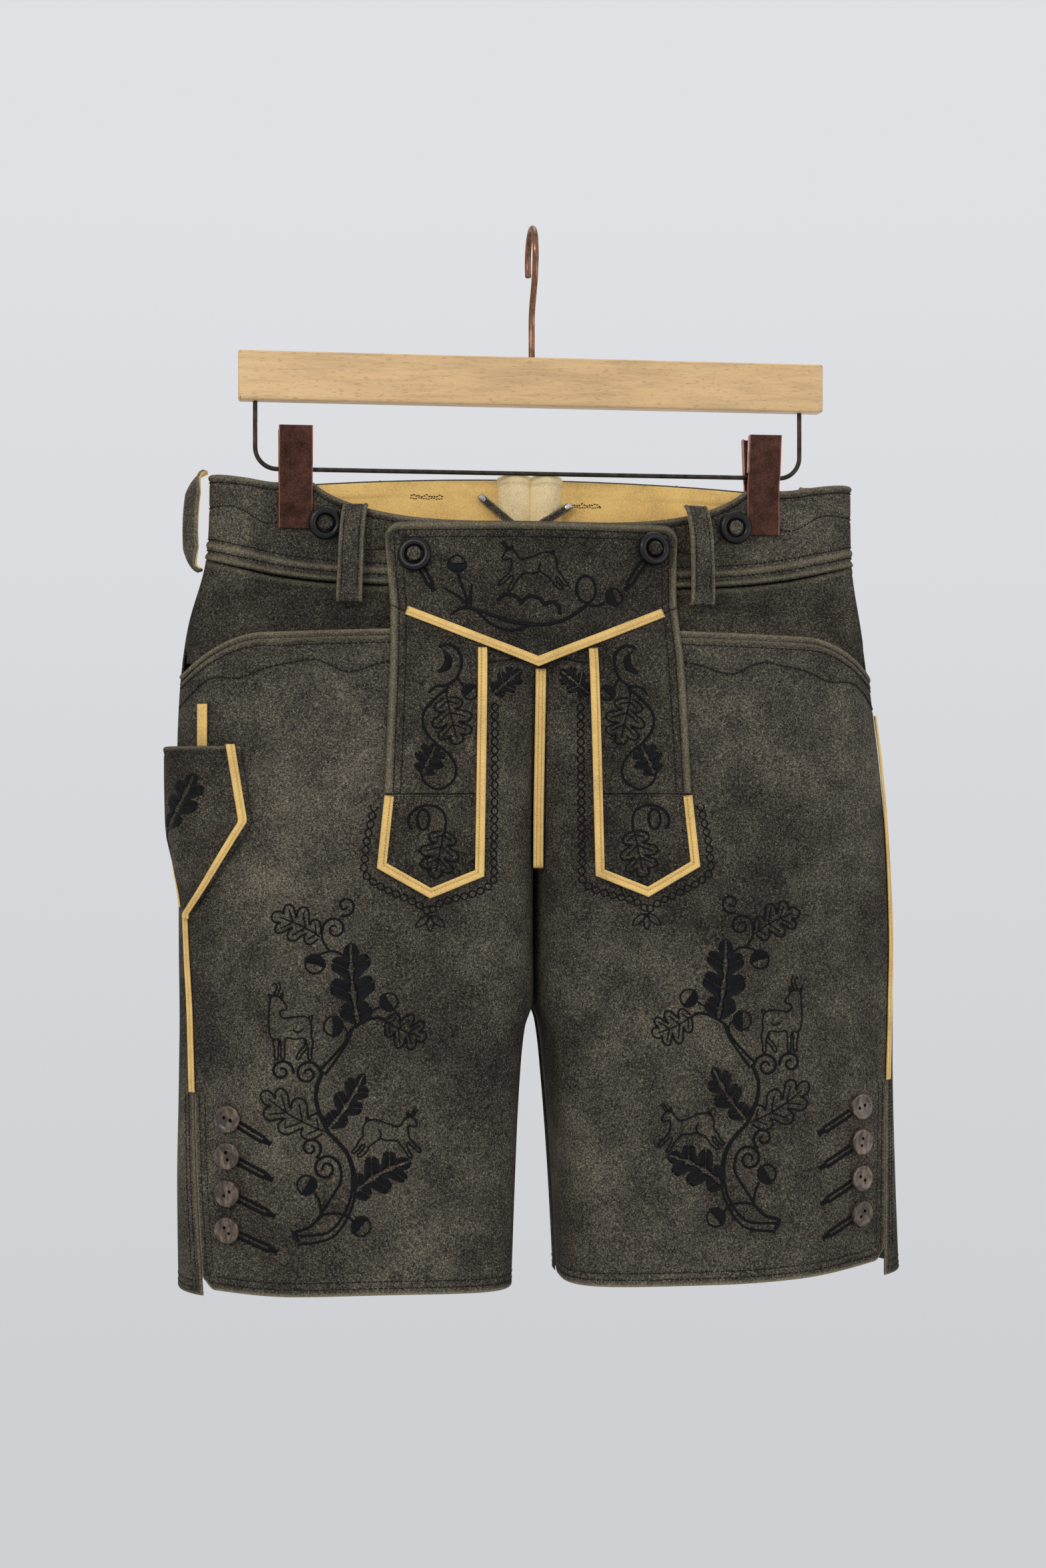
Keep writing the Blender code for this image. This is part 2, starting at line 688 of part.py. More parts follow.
def add_loops(material):
    places = {"front_left": (-1, 116.0, False, -184.5, -247.0),
              "front_right": (1, 105.5, False, -182.5, -247.0),
              "back_left": (-1, 92.0, True, -166.0, -226.0),
              "back_right": (1, 92.0, True, -166.0, -226.0)}
    for word, (side, x, back, high, low) in places.items():
        add_loop(f"loop_{word}", side, girth_at(side, x, high, back), high, low, material)
    add_loop("loop_side_right", 1, girth_at(1, 194.0, -190.0, True), -165.0, -225.0, material)
    add_fold_loop("loop_side_left", -1, -163.5, -224.0, material)


# ================================================================ buttons
def facing(point, normal):
    """Matrix that puts +Z of a button along normal, at point (mm)."""
    turn = normal.to_track_quat("Z", "Y").to_matrix().to_4x4()
    return Matrix.Translation(point * MM) @ turn


def add_ring_button(word, seat, normal, knot_length, horn, leather):
    """A horn ring held by a leather knot; seat is the point on the cloth below its middle."""
    bpy.ops.mesh.primitive_torus_add(major_segments=20, minor_segments=8,
                                     major_radius=RING_RADIUS * MM, minor_radius=RING_WIRE * MM)
    ring = bpy.context.object
    for group in list(ring.users_collection):
        group.objects.unlink(ring)
    bpy.data.collections["lederhosen"].objects.link(ring)
    ring.name = ring.data.name = f"ring_{word}"
    ring.data.materials.append(horn)
    ring.data.shade_smooth()
    lift = knot_length - RING_WIRE - 0.6
    ring.matrix_world = facing(seat + normal * lift, normal)
    builder = bmesh.new()
    bmesh.ops.create_cone(builder, cap_ends=True, segments=16, radius1=KNOT_RADIUS,
                          radius2=KNOT_RADIUS * 0.86, depth=knot_length - 0.4)
    knot = add_mesh(f"knot_{word}", builder, leather)
    knot.matrix_world = facing(seat + normal * (0.4 + (knot_length - 0.4) / 2.0), normal)


def add_ring_buttons(horn, leather):
    for word, (x, z) in zip(("flap_left", "flap_right"), FLAP_BUTTONS):
        along = flap_point(x + 4.0, z) - flap_point(x - 4.0, z)
        down = flap_point(x, z - 4.0) - flap_point(x, z + 4.0)
        normal = down.cross(along).normalized()
        add_ring_button(word, flap_point(x, z, BAND + SEAM), normal, 7.2, horn, leather)
    for word, (x, z) in BRACE_BUTTONS.items():
        side = -1 if x < 0 else 1
        back = word.startswith("back")
        girth = girth_at(side, abs(x), z, back)
        seat = point_on(side, girth, z)
        normal = Vector((0.0, 1.0 if back else -1.0, 0.0))
        seat += normal * (0.6 if back else 2.4)
        add_ring_button(word, seat, normal, 7.2, horn, leather)


def add_hem_buttons(horn):
    """Four staghorn buttons beside each side slit."""
    for side, word in ((-1, "left"), (1, "right")):
        for i, z in enumerate(HEM_BUTTON_LEVELS, start=1):
            girth = girth_at(side, abs(HEM_BUTTON_X[side]), z)
            low = point_on(side, girth, z, 1.3)
            normal = (point_on(side, girth, z, 2.3) - low).normalized()
            builder = bmesh.new()
            bmesh.ops.create_cone(builder, cap_ends=True, segments=20, radius1=HEM_BUTTON_RADIUS,
                                  radius2=HEM_BUTTON_RADIUS, depth=HEM_BUTTON_THICK)
            button = add_mesh(f"hem_button_{word}_{i}", builder, horn)
            button.matrix_world = facing(low + normal * HEM_BUTTON_THICK / 2.0, normal)


# ================================================================ hanger
def add_hanger_bar(wood):
    builder = bmesh.new()
    bmesh.ops.create_cube(builder, size=1.0)
    bmesh.ops.scale(builder, vec=(BAR_LENGTH, BAR_THICK, BAR_HEIGHT), verts=builder.verts)
    bmesh.ops.translate(builder, vec=BAR_MIDDLE, verts=builder.verts)
    bar = add_mesh("hanger_bar", builder, wood)
    edge = bar.modifiers.new("edges", "BEVEL")
    edge.width = 1.2 * MM
    edge.segments = 2
    edge.limit_method = "ANGLE"


def add_hook(copper):
    """Round wire: up from the bar, forward round the rail, over it and down behind."""
    radius = HOOK_INNER + HOOK_WIRE / 2.0
    middle = -HOOK_INNER
    foot = BAR_MIDDLE.z + BAR_HEIGHT / 2.0 + SEAM
    points = [(0.0, 0.0, foot), (0.0, 0.0, -70.0), (0.0, 0.0, -60.0)]
    points += [(0.0, -1.6, -53.0), (0.0, -5.6, -46.5), (0.0, -10.8, -40.0), (0.0, -15.2, -32.5)]
    for degrees in range(200, -36, -15):
        turn = math.radians(degrees)
        points.append((0.0, radius * math.cos(turn), middle + radius * math.sin(turn)))
    add_tube("hanger_hook", points, HOOK_WIRE, copper, 3)


def add_wire_frame(bronze):
    """Round wire: down from the bar, along under it and up again."""
    top = BAR_MIDDLE.z - BAR_HEIGHT / 2.0 - SEAM
    points = [(-FRAME_HALF, 0.0, top)]
    corner_z = FRAME_LEVEL + FRAME_CORNER
    for degrees in between(180.0, 270.0, 6):
        turn = math.radians(degrees)
        points.append((-FRAME_HALF + FRAME_CORNER * (1.0 + math.cos(turn)), 0.0,
                       corner_z + FRAME_CORNER * math.sin(turn)))
    points += [(-x, y, z) for x, y, z in reversed(points)]
    add_tube("hanger_wire", points, FRAME_WIRE, bronze, 2)


def add_clip_jaw(name, x, front, copper):
    """One jaw: a plate with two side cheeks, pressed from sheet."""
    side = -1.0 if front else 1.0
    low_y = (PINCH_FRONT if front else PINCH_BACK) + 2.0 * SEAM
    high_y = low_y + (6.6 if front else 7.2)
    outer_low, outer_high = low_y + CLIP_PLATE, high_y + CLIP_PLATE
    cheek = 4.0
    # outline seen from the side, as (depth, height): the plate leans out to its top
    wire_gap = FRAME_LEVEL + FRAME_WIRE / 2.0 + 0.8
    builder = bmesh.new()
    sections = []
    half = CLIP_WIDTH / 2.0
    for across in (-half, -half + CLIP_PLATE, half - CLIP_PLATE, half):
        deep = abs(across) == half
        column = []
        for z, inner, outer in ((CLIP_LOW, low_y, outer_low), (-164.0, low_y, outer_low + 1.0),
                                (wire_gap, high_y * 0.62, outer_high * 0.84),
                                (CLIP_TOP, high_y, outer_high)):
            reach = inner
            if deep and z > -165.0 and z > wire_gap - 0.1:
                reach = max(0.4, inner - cheek)
            column.append((builder.verts.new((x + across, side * reach, z)),
                           builder.verts.new((x + across, side * outer, z))))
        sections.append(column)
    for first, second in zip(sections, sections[1:]):
        for k in range(3):
            builder.faces.new((first[k][0], first[k + 1][0], second[k + 1][0], second[k][0]))
            builder.faces.new((first[k][1], second[k][1], second[k + 1][1], first[k + 1][1]))
        builder.faces.new((first[0][0], second[0][0], second[0][1], first[0][1]))
        builder.faces.new((first[3][0], first[3][1], second[3][1], second[3][0]))
    for column in (sections[0], sections[-1]):
        for k in range(3):
            builder.faces.new((column[k][0], column[k][1], column[k + 1][1], column[k + 1][0]))
    bmesh.ops.recalc_face_normals(builder, faces=builder.faces)
    add_mesh(name, builder, copper)


# ================================================================ assembly
def main():
    clear_scene()
    group = bpy.data.collections.new("lederhosen")
    bpy.context.scene.collection.children.link(group)
    suede = new_material("suede", (0.075, 0.070, 0.060), 0.95)
    dark_suede = new_material("dark_suede", (0.050, 0.048, 0.044), 0.95)
    chamois = new_material("chamois", (0.72, 0.50, 0.20), 0.9)
    black_horn = new_material("black_horn", (0.012, 0.012, 0.016), 0.25)
    stag_horn = new_material("stag_horn", (0.20, 0.13, 0.09), 0.35)
    beech = new_material("beech", (0.66, 0.44, 0.25), 0.55)
    copper = new_material("copper", (0.45, 0.20, 0.13), 0.3, 1.0)
    old_copper = new_material("old_copper", (0.22, 0.11, 0.08), 0.45, 0.9)
    bronze = new_material("bronze", (0.06, 0.05, 0.04), 0.4, 0.8)

    for side, word in ((-1, "left"), (1, "right")):
        add_front(side, f"front_{word}", suede)
        add_back(side, f"back_{word}", suede)
        add_hip(side, f"hip_{word}", dark_suede)
        add_band(side, f"waistband_{word}", BAND, 0.0, suede)
        add_band(side, f"facing_{word}", FACING, BAND + SEAM, chamois)
        add_strip(side, f"flap_strip_{word}", dark_suede)
        add_tip(side, f"flap_tip_{word}", dark_suede)
        add_clip_jaw(f"clip_front_{word}", side * CLIP_X, True, old_copper)
        add_clip_jaw(f"clip_back_{word}", side * CLIP_X, False, old_copper)
    add_gusset(chamois)
    add_lace(dark_suede)
    add_flap_top(dark_suede)
    add_flap_pipings(chamois)
    add_centre_piping(chamois)
    add_side_pipings(chamois)
    add_knife_pocket(dark_suede, chamois)
    add_loops(suede)
    add_ring_buttons(black_horn, dark_suede)
    add_hem_buttons(stag_horn)
    add_hanger_bar(beech)
    add_hook(copper)
    add_wire_frame(bronze)


main()
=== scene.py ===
"""Lederhosen hanging from a clip hanger: the finished look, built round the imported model.

Laid out as a Blender add-on and run as a script.  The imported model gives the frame: metres,
+Z up, the origin under the hook's bend, -Y out of the front, +X to the viewer's right.
Tables and sizes are in millimetres, and MM turns them into metres where a mesh is made.

The body of the breeches is one surface, body(side, girth, z): side is -1 or +1, girth runs
from 0 at the centre front (or inseam) through 1 at the side to 2 at the centre back.  Every
panel is a stretch of that surface with a wall, and what is sewn on a panel is laid on it.
"""

import json
import math

import bmesh
import bpy
import numpy as np
from mathutils import Matrix, Vector

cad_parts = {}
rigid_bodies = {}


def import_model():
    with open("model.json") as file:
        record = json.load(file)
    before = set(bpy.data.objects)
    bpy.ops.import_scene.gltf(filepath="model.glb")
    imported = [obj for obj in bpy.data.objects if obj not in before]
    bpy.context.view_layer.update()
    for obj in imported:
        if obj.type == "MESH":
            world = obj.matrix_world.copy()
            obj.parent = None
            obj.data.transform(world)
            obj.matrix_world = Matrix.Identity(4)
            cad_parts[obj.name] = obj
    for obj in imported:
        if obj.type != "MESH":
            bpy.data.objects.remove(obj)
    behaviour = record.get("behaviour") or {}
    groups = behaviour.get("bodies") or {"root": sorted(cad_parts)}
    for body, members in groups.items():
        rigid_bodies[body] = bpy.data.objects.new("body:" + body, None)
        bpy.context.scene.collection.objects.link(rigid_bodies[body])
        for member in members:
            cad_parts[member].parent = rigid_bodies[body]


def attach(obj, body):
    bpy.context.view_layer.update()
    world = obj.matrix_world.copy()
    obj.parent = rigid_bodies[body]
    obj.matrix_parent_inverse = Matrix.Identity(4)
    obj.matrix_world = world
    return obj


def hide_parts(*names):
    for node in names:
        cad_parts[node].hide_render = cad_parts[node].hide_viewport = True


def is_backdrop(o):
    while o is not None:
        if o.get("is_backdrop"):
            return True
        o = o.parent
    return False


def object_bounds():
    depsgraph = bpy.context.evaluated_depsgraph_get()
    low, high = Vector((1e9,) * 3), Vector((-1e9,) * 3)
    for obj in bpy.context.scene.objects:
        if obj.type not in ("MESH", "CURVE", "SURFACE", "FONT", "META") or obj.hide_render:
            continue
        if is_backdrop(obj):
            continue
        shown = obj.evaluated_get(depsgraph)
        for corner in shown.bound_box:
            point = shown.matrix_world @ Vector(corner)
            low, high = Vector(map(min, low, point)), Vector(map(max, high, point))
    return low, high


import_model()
cad_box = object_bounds()

bl_info = {
    "name": "Lederhosen on a clip hanger",
    "version": (1, 0, 0),
    "blender": (4, 5, 0),
    "location": "3D View > Sidebar > Lederhosen",
    "description": "Makes embroidered suede lederhosen on a clip hanger, piece by piece",
    "category": "Object",
}

MM = 0.001

# ---------------------------------------------------------------- driving sizes (mm)
SEAM = 0.3
LEATHER, BAND, FACING, PIPING = 1.8, 2.0, 1.0, 1.5
PIPING_WIDTH = 6.0
CLIP_X, CLIP_FLAT = 155.0, 12.0
PINCH_FRONT, PINCH_BACK = 4.5, 3.5
BULGE_FRONT, BULGE_BACK = 30.0, 9.0
PINCH_ENDS = (-205.0, -290.0)
TOP_CLIP, TOP_SIDE, TOP_SAG, TOP_RISE = -168.0, -164.0, 26.5, 6.5
BAND_LOW_SIDE, BAND_LOW_DROP = -218.0, 18.0
HIP_LOW, HIP_RISE = -312.0, 26.0
MOUTH, MOUTH_END = -264.0, 0.985     # height, and girth at which the mouth meets the side seam
HEM_FRONT, HEM_BACK = -685.0, -687.0
SLIT_TOP = -559.0
FRONT_POWER, INNER_POWER, SEAT_POWER = 2.3, 5.0, 3.0

# Half-widths at the left and right side, depths of the front and back crests and of the centre
# seams, half the gap between the legs, and depth of the inseam, at each height.
LEVEL_NAMES = ("left", "right", "front", "back", "seam_front", "seam_back", "gap", "inseam")
LEVELS = (
    # z      left   right  front  back  seam_f seam_b  gap  inseam
    (-150.0, 210.0, 216.0, -36.0, 14.0, -35.5, 13.5, 0.0, 0.0),
    (-218.0, 212.5, 217.0, -38.0, 24.0, -37.0, 23.0, 0.0, 5.0),
    (-262.0, 224.0, 223.0, -44.0, 34.0, -41.0, 31.0, 0.0, 10.0),
    (-300.0, 229.0, 228.0, -49.0, 42.0, -39.0, 37.0, 0.0, 20.0),
    (-350.0, 231.0, 234.0, -52.0, 48.0, -27.0, 41.0, 0.0, 26.0),
    (-415.0, 230.0, 240.0, -54.0, 52.0, -6.0, 42.0, 0.0, 30.0),
    (-465.0, 230.0, 243.0, -55.0, 53.0, 13.0, 38.0, 0.0, 30.0),
    (-505.0, 229.5, 243.5, -55.0, 54.0, 29.0, 31.0, 0.0, 30.0),
    (-522.0, 229.5, 243.5, -55.0, 54.0, 28.0, 28.0, 5.5, 28.0),
    (-560.0, 230.0, 243.5, -55.5, 54.0, 24.0, 24.0, 9.5, 24.0),
    (-620.0, 231.0, 245.0, -56.0, 54.0, 14.0, 14.0, 13.0, 14.0),
    (-700.0, 230.0, 248.0, -56.0, 54.0, 6.0, 6.0, 16.5, 6.0),
)
SIDE_SEAM = ((-290.0, 0.985), (-340.0, 0.95), (-450.0, 0.90), (-559.0, 0.865), (-700.0, 0.82))

FLAP_X, FLAP_TOP, FLAP_CORNER, FLAP_LIFT = -2.5, -194.5, 10.0, 0.9
V_MIDDLE, V_SIDE, V_INNER, V_HALF, V_PIPED = -286.0, -250.0, 32.5, 93.5, 83.0
FLAP_HALF = ((-194.0, 95.5), (-250.0, 93.0), (-370.0, 98.5), (-416.0, 103.5))
STRIP_INNER = ((-270.0, 32.5), (-421.0, 35.5))
STRIP_SEAM = -370.0
TIP_INNER, TIP_POINT, TIP_OUTER = (35.5, -421.0), (69.5, -436.0), (103.5, -416.5)

RING_RADIUS, RING_WIRE, KNOT_RADIUS, KNOT_LENGTH = 8.2, 2.8, 4.9, 7.2
HEM_BUTTON_RADIUS, HEM_BUTTON_THICK, HOLE_APART = 8.3, 2.6, 4.6
HEM_BUTTON_LEVELS = (-574.0, -597.0, -620.5, -643.5)
HEM_BUTTON_X = {-1: -198.0, 1: 210.0}
FLAP_BUTTONS = {"flap_left": (-78.5, -217.0), "flap_right": (74.5, -211.0)}
BRACE_BUTTONS = {"front_left": (-136.0, -195.0), "front_right": (134.5, -194.0),
                 "back_left": (-62.0, -190.0), "back_right": (62.0, -190.0)}
LOOP_WIDTH, LOOP_THICK, LOOP_OUT = 17.0, 2.4, 9.5
KNIFE_TOP, KNIFE_MIDDLE, KNIFE_TIP = -340.0, -387.0, -446.0
KNIFE_INNER = ((-340.0, 191.0), (-387.0, 183.5), (-446.0, 219.5))
KNIFE_OUTER, KNIFE_OPEN = 1.02, 8.6
GUSSET_HALF, GUSSET_ROLL, GUSSET_TOP, GUSSET_LOW = 19.0, 8.5, -161.0, -221.0
GUSSET_LAP = 1.2

HOOK_WIRE, HOOK_INNER = 4.2, 17.0
BAR_LENGTH, BAR_THICK, BAR_HEIGHT = 388.0, 12.0, 32.0
BAR_MIDDLE = (2.0, 0.0, -99.0)
FRAME_WIRE, FRAME_HALF, FRAME_LEVEL, FRAME_CORNER = 3.0, 181.0, -159.0, 14.0
CLIP_WIDTH, CLIP_PLATE, CLIP_CHEEK = 22.0, 1.2, 4.0
CLIP_TOP, CLIP_BEND, CLIP_LOW = -132.0, -164.0, -198.0
CLIP_LEAN_FRONT, CLIP_LEAN_BACK = 6.6, 7.2

RIM = (0.0, 0.3, 0.9)     # distances from an edge at which every wall has a row of points
WORDS = {-1: "left", 1: "right"}

# Soft creases of the hanging leather: a line from (x0, z0) to (x1, z1), its half-width, and its
# height, negative for a trough.  x is positive on both sides, and "side" is 0 for both legs.
CREASE_NAMES = ("side", "front", "x0", "z0", "x1", "z1", "width", "height")
CREASES = (
    (-1, True, 190.0, -300.0, 130.0, -420.0, 20.0, -1.6),
    (-1, True, 150.0, -330.0, 95.0, -520.0, 26.0, 1.4),
    (-1, True, 60.0, -440.0, 42.0, -640.0, 17.0, -2.4),
    (-1, True, 205.0, -480.0, 196.0, -600.0, 12.0, -1.0),
    (-1, True, 120.0, -560.0, 100.0, -672.0, 22.0, -1.1),
    (1, True, 205.0, -310.0, 140.0, -430.0, 22.0, -1.5),
    (1, True, 165.0, -300.0, 120.0, -520.0, 28.0, 1.5),
    (1, True, 62.0, -430.0, 52.0, -600.0, 18.0, -2.2),
    (1, True, 215.0, -400.0, 190.0, -560.0, 18.0, -1.3),
    (1, True, 130.0, -560.0, 150.0, -670.0, 20.0, -1.2),
    (0, False, 150.0, -250.0, 90.0, -400.0, 22.0, -2.2),
    (0, False, 60.0, -330.0, 120.0, -470.0, 24.0, -2.6),
    (-1, False, 170.0, -420.0, 130.0, -600.0, 26.0, -2.0),
    (1, False, 150.0, -440.0, 120.0, -620.0, 24.0, -2.3),
    (0, False, 60.0, -520.0, 70.0, -660.0, 18.0, -1.8),
    (0, False, 200.0, -300.0, 205.0, -440.0, 16.0, 1.5),
)


# ================================================================ small maths
def smooth(a, b, t):
    """0 before a, 1 after b, an S curve between them."""
    s = np.clip((np.asarray(t, float) - a) / (b - a), 0.0, 1.0)
    return s * s * (3.0 - 2.0 * s)


def linear(table, t):
    """Value at t in rows of (level, value), levels falling; ends are held."""
    levels, values = zip(*table)
    return np.interp(-np.asarray(t, float), -np.array(levels), values)


def ridge(distance, at, width):
    """A soft ridge of height 1 along a line."""
    return np.exp(-((distance - at) / width) ** 2)


def unit(vectors):
    return vectors / np.maximum(1e-9, np.linalg.norm(vectors, axis=-1, keepdims=True))


def curve(points, step=1.5, closed=False):
    """A smooth line through a few points, with a point about every step."""
    points = np.array(points, float)
    count = len(points)
    found = []
    for i in range(count if closed else count - 1):
        near = [points[(i + k) % count] if closed else points[min(count - 1, max(0, i + k))]
                for k in (-1, 0, 1, 2)]
        pieces = max(2, math.ceil(np.linalg.norm(near[2] - near[1]) / step))
        for t in np.arange(pieces) / pieces:
            found.append(0.5 * (2 * near[1] + (near[2] - near[0]) * t
                                + (2 * near[0] - 5 * near[1] + 4 * near[2] - near[3]) * t**2
                                + (3 * near[1] - near[0] - 3 * near[2] + near[3]) * t**3))
    found.append(points[0] if closed else points[-1])
    return np.array(found)


def straight(points, step=2.0):
    """A line with corners, with a point about every step."""
    found = [np.array(points[0], float)]
    for start, end in zip(points, points[1:]):
        start, end = np.array(start, float), np.array(end, float)
        count = max(1, math.ceil(np.linalg.norm(end - start) / step))
        found += [start + (end - start) * k / count for k in range(1, count + 1)]
    return np.array(found)


def run_along(line):
    """Distance of each point of a line from its first."""
    return np.concatenate([[0.0], np.cumsum(np.linalg.norm(np.diff(line, axis=0), axis=-1))])


def spots_at(line, marks):
    """Flat points of a line at distances along it."""
    run = run_along(line)
    return np.stack([np.interp(marks, run, line[:, k]) for k in (0, 1)], axis=-1)


def square_to(way):
    """A flat direction, or a row of them, turned left by a right angle."""
    return np.stack([-way[..., 1], way[..., 0]], axis=-1)


def stack(x, z):
    return np.stack(np.broadcast_arrays(np.asarray(x, float), np.asarray(z, float)), axis=-1)


def grid(across, down):
    """Both shares at every place of a grid, i across and j down."""
    return np.meshgrid(across, down, indexing="ij")


def oval(centre, wide, high, first=0.0, last=361.0, step=12.0):
    """Points round an oval, from one angle to another, in degrees."""
    turn = np.radians(np.arange(first, last, step))
    return np.array(centre) + stack(wide * np.cos(turn), high * np.sin(turn))


def spread(length, step, start=0.0, end=0.0, fine=1.1):
    """Shares 0 to 1 along length: a rim at both ends, fine steps within start and end of them,
    and even steps between."""
    first = np.concatenate([RIM, np.arange(RIM[-1] + fine, start, fine)])
    last = np.concatenate([RIM, np.arange(RIM[-1] + fine, end, fine)])
    count = max(2, round((length - first[-1] - last[-1]) / step))
    middle = np.linspace(first[-1], length - last[-1], count + 1)[1:-1]
    return np.concatenate([first, middle, length - last[::-1]]) / length


# ================================================================ the body's surface
def level_rows():
    """Heights every half millimetre, and the body's sizes there: a smooth curve through LEVELS."""
    rows = np.array(LEVELS)
    heights = np.arange(rows[0, 0], rows[-1, 0] - 0.25, -0.5)
    found = []
    for z in heights:
        i = next(k for k in range(len(rows) - 1) if z >= rows[k + 1, 0] - 1e-6)
        near = [rows[min(len(rows) - 1, max(0, i + k))] for k in (-1, 0, 1, 2)]
        span = near[2][0] - near[1][0]
        t = (z - near[1][0]) / span
        slope_in = (near[2] - near[0]) / (near[2][0] - near[0][0]) * span
        slope_out = (near[3] - near[1]) / (near[3][0] - near[1][0]) * span
        found.append(near[1] * (2 * t**3 - 3 * t**2 + 1) + slope_in * (t**3 - 2 * t**2 + t)
                     + near[2] * (3 * t**2 - 2 * t**3) + slope_out * (t**3 - t**2))
    return heights, np.array(found)


HEIGHTS, SIZES = level_rows()


def level(name, z):
    """One of the body's sizes at height z."""
    column = SIZES[:, LEVEL_NAMES.index(name) + 1]
    return np.interp(-np.asarray(z, float), -HEIGHTS, column)


def side_width(side, z):
    return level(WORDS[side], z)


def waist_depth(x, side_x, front):
    """Depth of the waist as the two clips hold it: a sag between them, a small loop outside."""
    pinch = np.where(front, -PINCH_FRONT, PINCH_BACK)
    bulge = np.where(front, -BULGE_FRONT, BULGE_BACK)
    inner_end, outer_end = CLIP_X - CLIP_FLAT, CLIP_X + CLIP_FLAT
    sag = pinch + bulge * np.maximum(0.0, 1.0 - (x / inner_end) ** 2) ** 1.3
    t = np.clip((x - outer_end) / (side_x - outer_end), 0.0, 1.0)
    loop = np.sign(pinch) * (np.abs(pinch) + 7.5 * smooth(0.0, 0.45, t)) * np.sqrt(1.0 - t**4)
    return np.where(x < inner_end, sag, np.where(x < outer_end, pinch, loop))


def depth(side, x, z, front):
    """Depth y of the outer surface at distance x from the centre, on the front or the back."""
    side_x, gap, inseam = side_width(side, z), level("gap", z), level("inseam", z)
    crest = (side_x + gap) / 2.0
    face = np.where(front, level("front", z), level("back", z))
    seam = np.where(front, level("seam_front", z), level("seam_back", z))
    power = np.where(front, INNER_POWER, SEAT_POWER)
    outer = np.clip((x - crest) / (side_x - crest), 0.0, 1.0)
    y_outer = face * (1.0 - outer**FRONT_POWER) ** (1.0 / FRONT_POWER)
    closing = np.maximum(0.0, (seam - inseam) / (face - inseam))
    reach = (crest - gap) / (1.0 - closing**power) ** (1.0 / power)
    inner = np.clip((crest - x) / reach, 0.0, 1.0)
    y_inner = inseam + (face - inseam) * (1.0 - inner**power) ** (1.0 / power)
    y = np.where(x >= crest, y_outer, y_inner)
    hold = smooth(PINCH_ENDS[1], PINCH_ENDS[0], z)
    return y + (waist_depth(x, side_x, front) - y) * hold


def body(side, girth, z):
    """Point of the body's surface."""
    girth, z = np.broadcast_arrays(np.asarray(girth, float), np.asarray(z, float))
    turn = (np.minimum(girth, 2.0 - girth) - 0.5) * math.pi
    side_x, gap = side_width(side, z), level("gap", z)
    crest = (side_x + gap) / 2.0
    x = crest + np.where(turn >= 0.0, side_x - crest, crest - gap) * np.sin(turn)
    return np.stack([side * x, depth(side, x, z, girth < 1.0), z], axis=-1)


def girth_at(side, x, z, back=False):
    """Girth of the point at distance x from the centre, at height z."""
    side_x, gap = side_width(side, z), level("gap", z)
    crest = (side_x + gap) / 2.0
    reach = np.where(x >= crest, side_x - crest, crest - gap)
    half = 0.5 + np.arcsin(np.clip((x - crest) / reach, -1.0, 1.0)) / math.pi
    return 2.0 - half if back else half


def past_seam(side, girth, z, gap):
    """The girth that lies gap further round than girth, along the surface."""
    step = 0.01 if gap > 0 else -0.01
    run = np.linalg.norm(body(side, girth + step, z) - body(side, girth, z), axis=-1)
    return girth + step * abs(gap) / run


def crease(side, x, z, front):
    """How far the hanging leather stands proud of the plain surface."""
    x, z = np.abs(x), np.asarray(z, float)
    height = np.zeros(np.broadcast(x, z).shape)
    for row in CREASES:
        fold = dict(zip(CREASE_NAMES, row))
        if fold["side"] not in (0, side):
            continue
        start = np.array([fold["x0"], fold["z0"]])
        along = np.array([fold["x1"], fold["z1"]]) - start
        length = np.linalg.norm(along)
        along = along / length
        run = (x - start[0]) * along[0] + (z - start[1]) * along[1]
        away = (x - start[0]) * along[1] - (z - start[1]) * along[0]
        ends = smooth(-0.15 * length, 0.35 * length, run) * smooth(1.15 * length, 0.65 * length, run)
        on = np.where(front, 1.0, 0.0) if fold["front"] else np.where(front, 0.0, 1.0)
        height += on * fold["height"] * ends * np.exp(-(away / fold["width"]) ** 2)
    return height


def on_body(side, girth, z, out=0.0):
    """Point on the creased surface, moved out along its normal."""
    girth, z = np.broadcast_arrays(np.asarray(girth, float), np.asarray(z, float))
    along = body(side, np.minimum(2.0, girth + 0.004), z) - body(side, np.maximum(0.0, girth - 0.004), z)
    down = body(side, girth, z - 1.0) - body(side, girth, z + 1.0)
    point = body(side, girth, z)
    lift = out + crease(side, point[..., 0], z, girth < 1.0)
    return point + unit(np.cross(down, along) * side) * np.asarray(lift)[..., None]


def on_front(x, z, out=0.0):
    """Point on the creased front at signed x, moved out along its normal."""
    x, z = np.broadcast_arrays(np.asarray(x, float), np.asarray(z, float))
    side = -1 if np.mean(x) < 0 else 1
    return on_body(side, girth_at(side, np.abs(x), z), z, out)


def flap_base(x, z):
    """Point of the flap's underside: it follows the waist, then hangs straight over the hollow
    between the legs."""
    x, z = np.broadcast_arrays(np.asarray(x, float), np.asarray(z, float))
    hold = 82.0 * smooth(-245.0, -292.0, z)
    reach = np.maximum(np.abs(x), hold + 0.12 * np.abs(x))
    y = np.minimum(depth(-1, reach, z, True), depth(1, reach, z, True))
    return np.stack([x, y - FLAP_LIFT, z], axis=-1)


def on_flap(x, z, out=0.0):
    """Point above the flap's outer face."""
    along = flap_base(x + 1.0, z) - flap_base(x - 1.0, z)
    down = flap_base(x, z - 1.0) - flap_base(x, z + 1.0)
    lift = np.asarray(BAND + out, float)
    return flap_base(x, z) + unit(np.cross(down, along)) * lift[..., None]


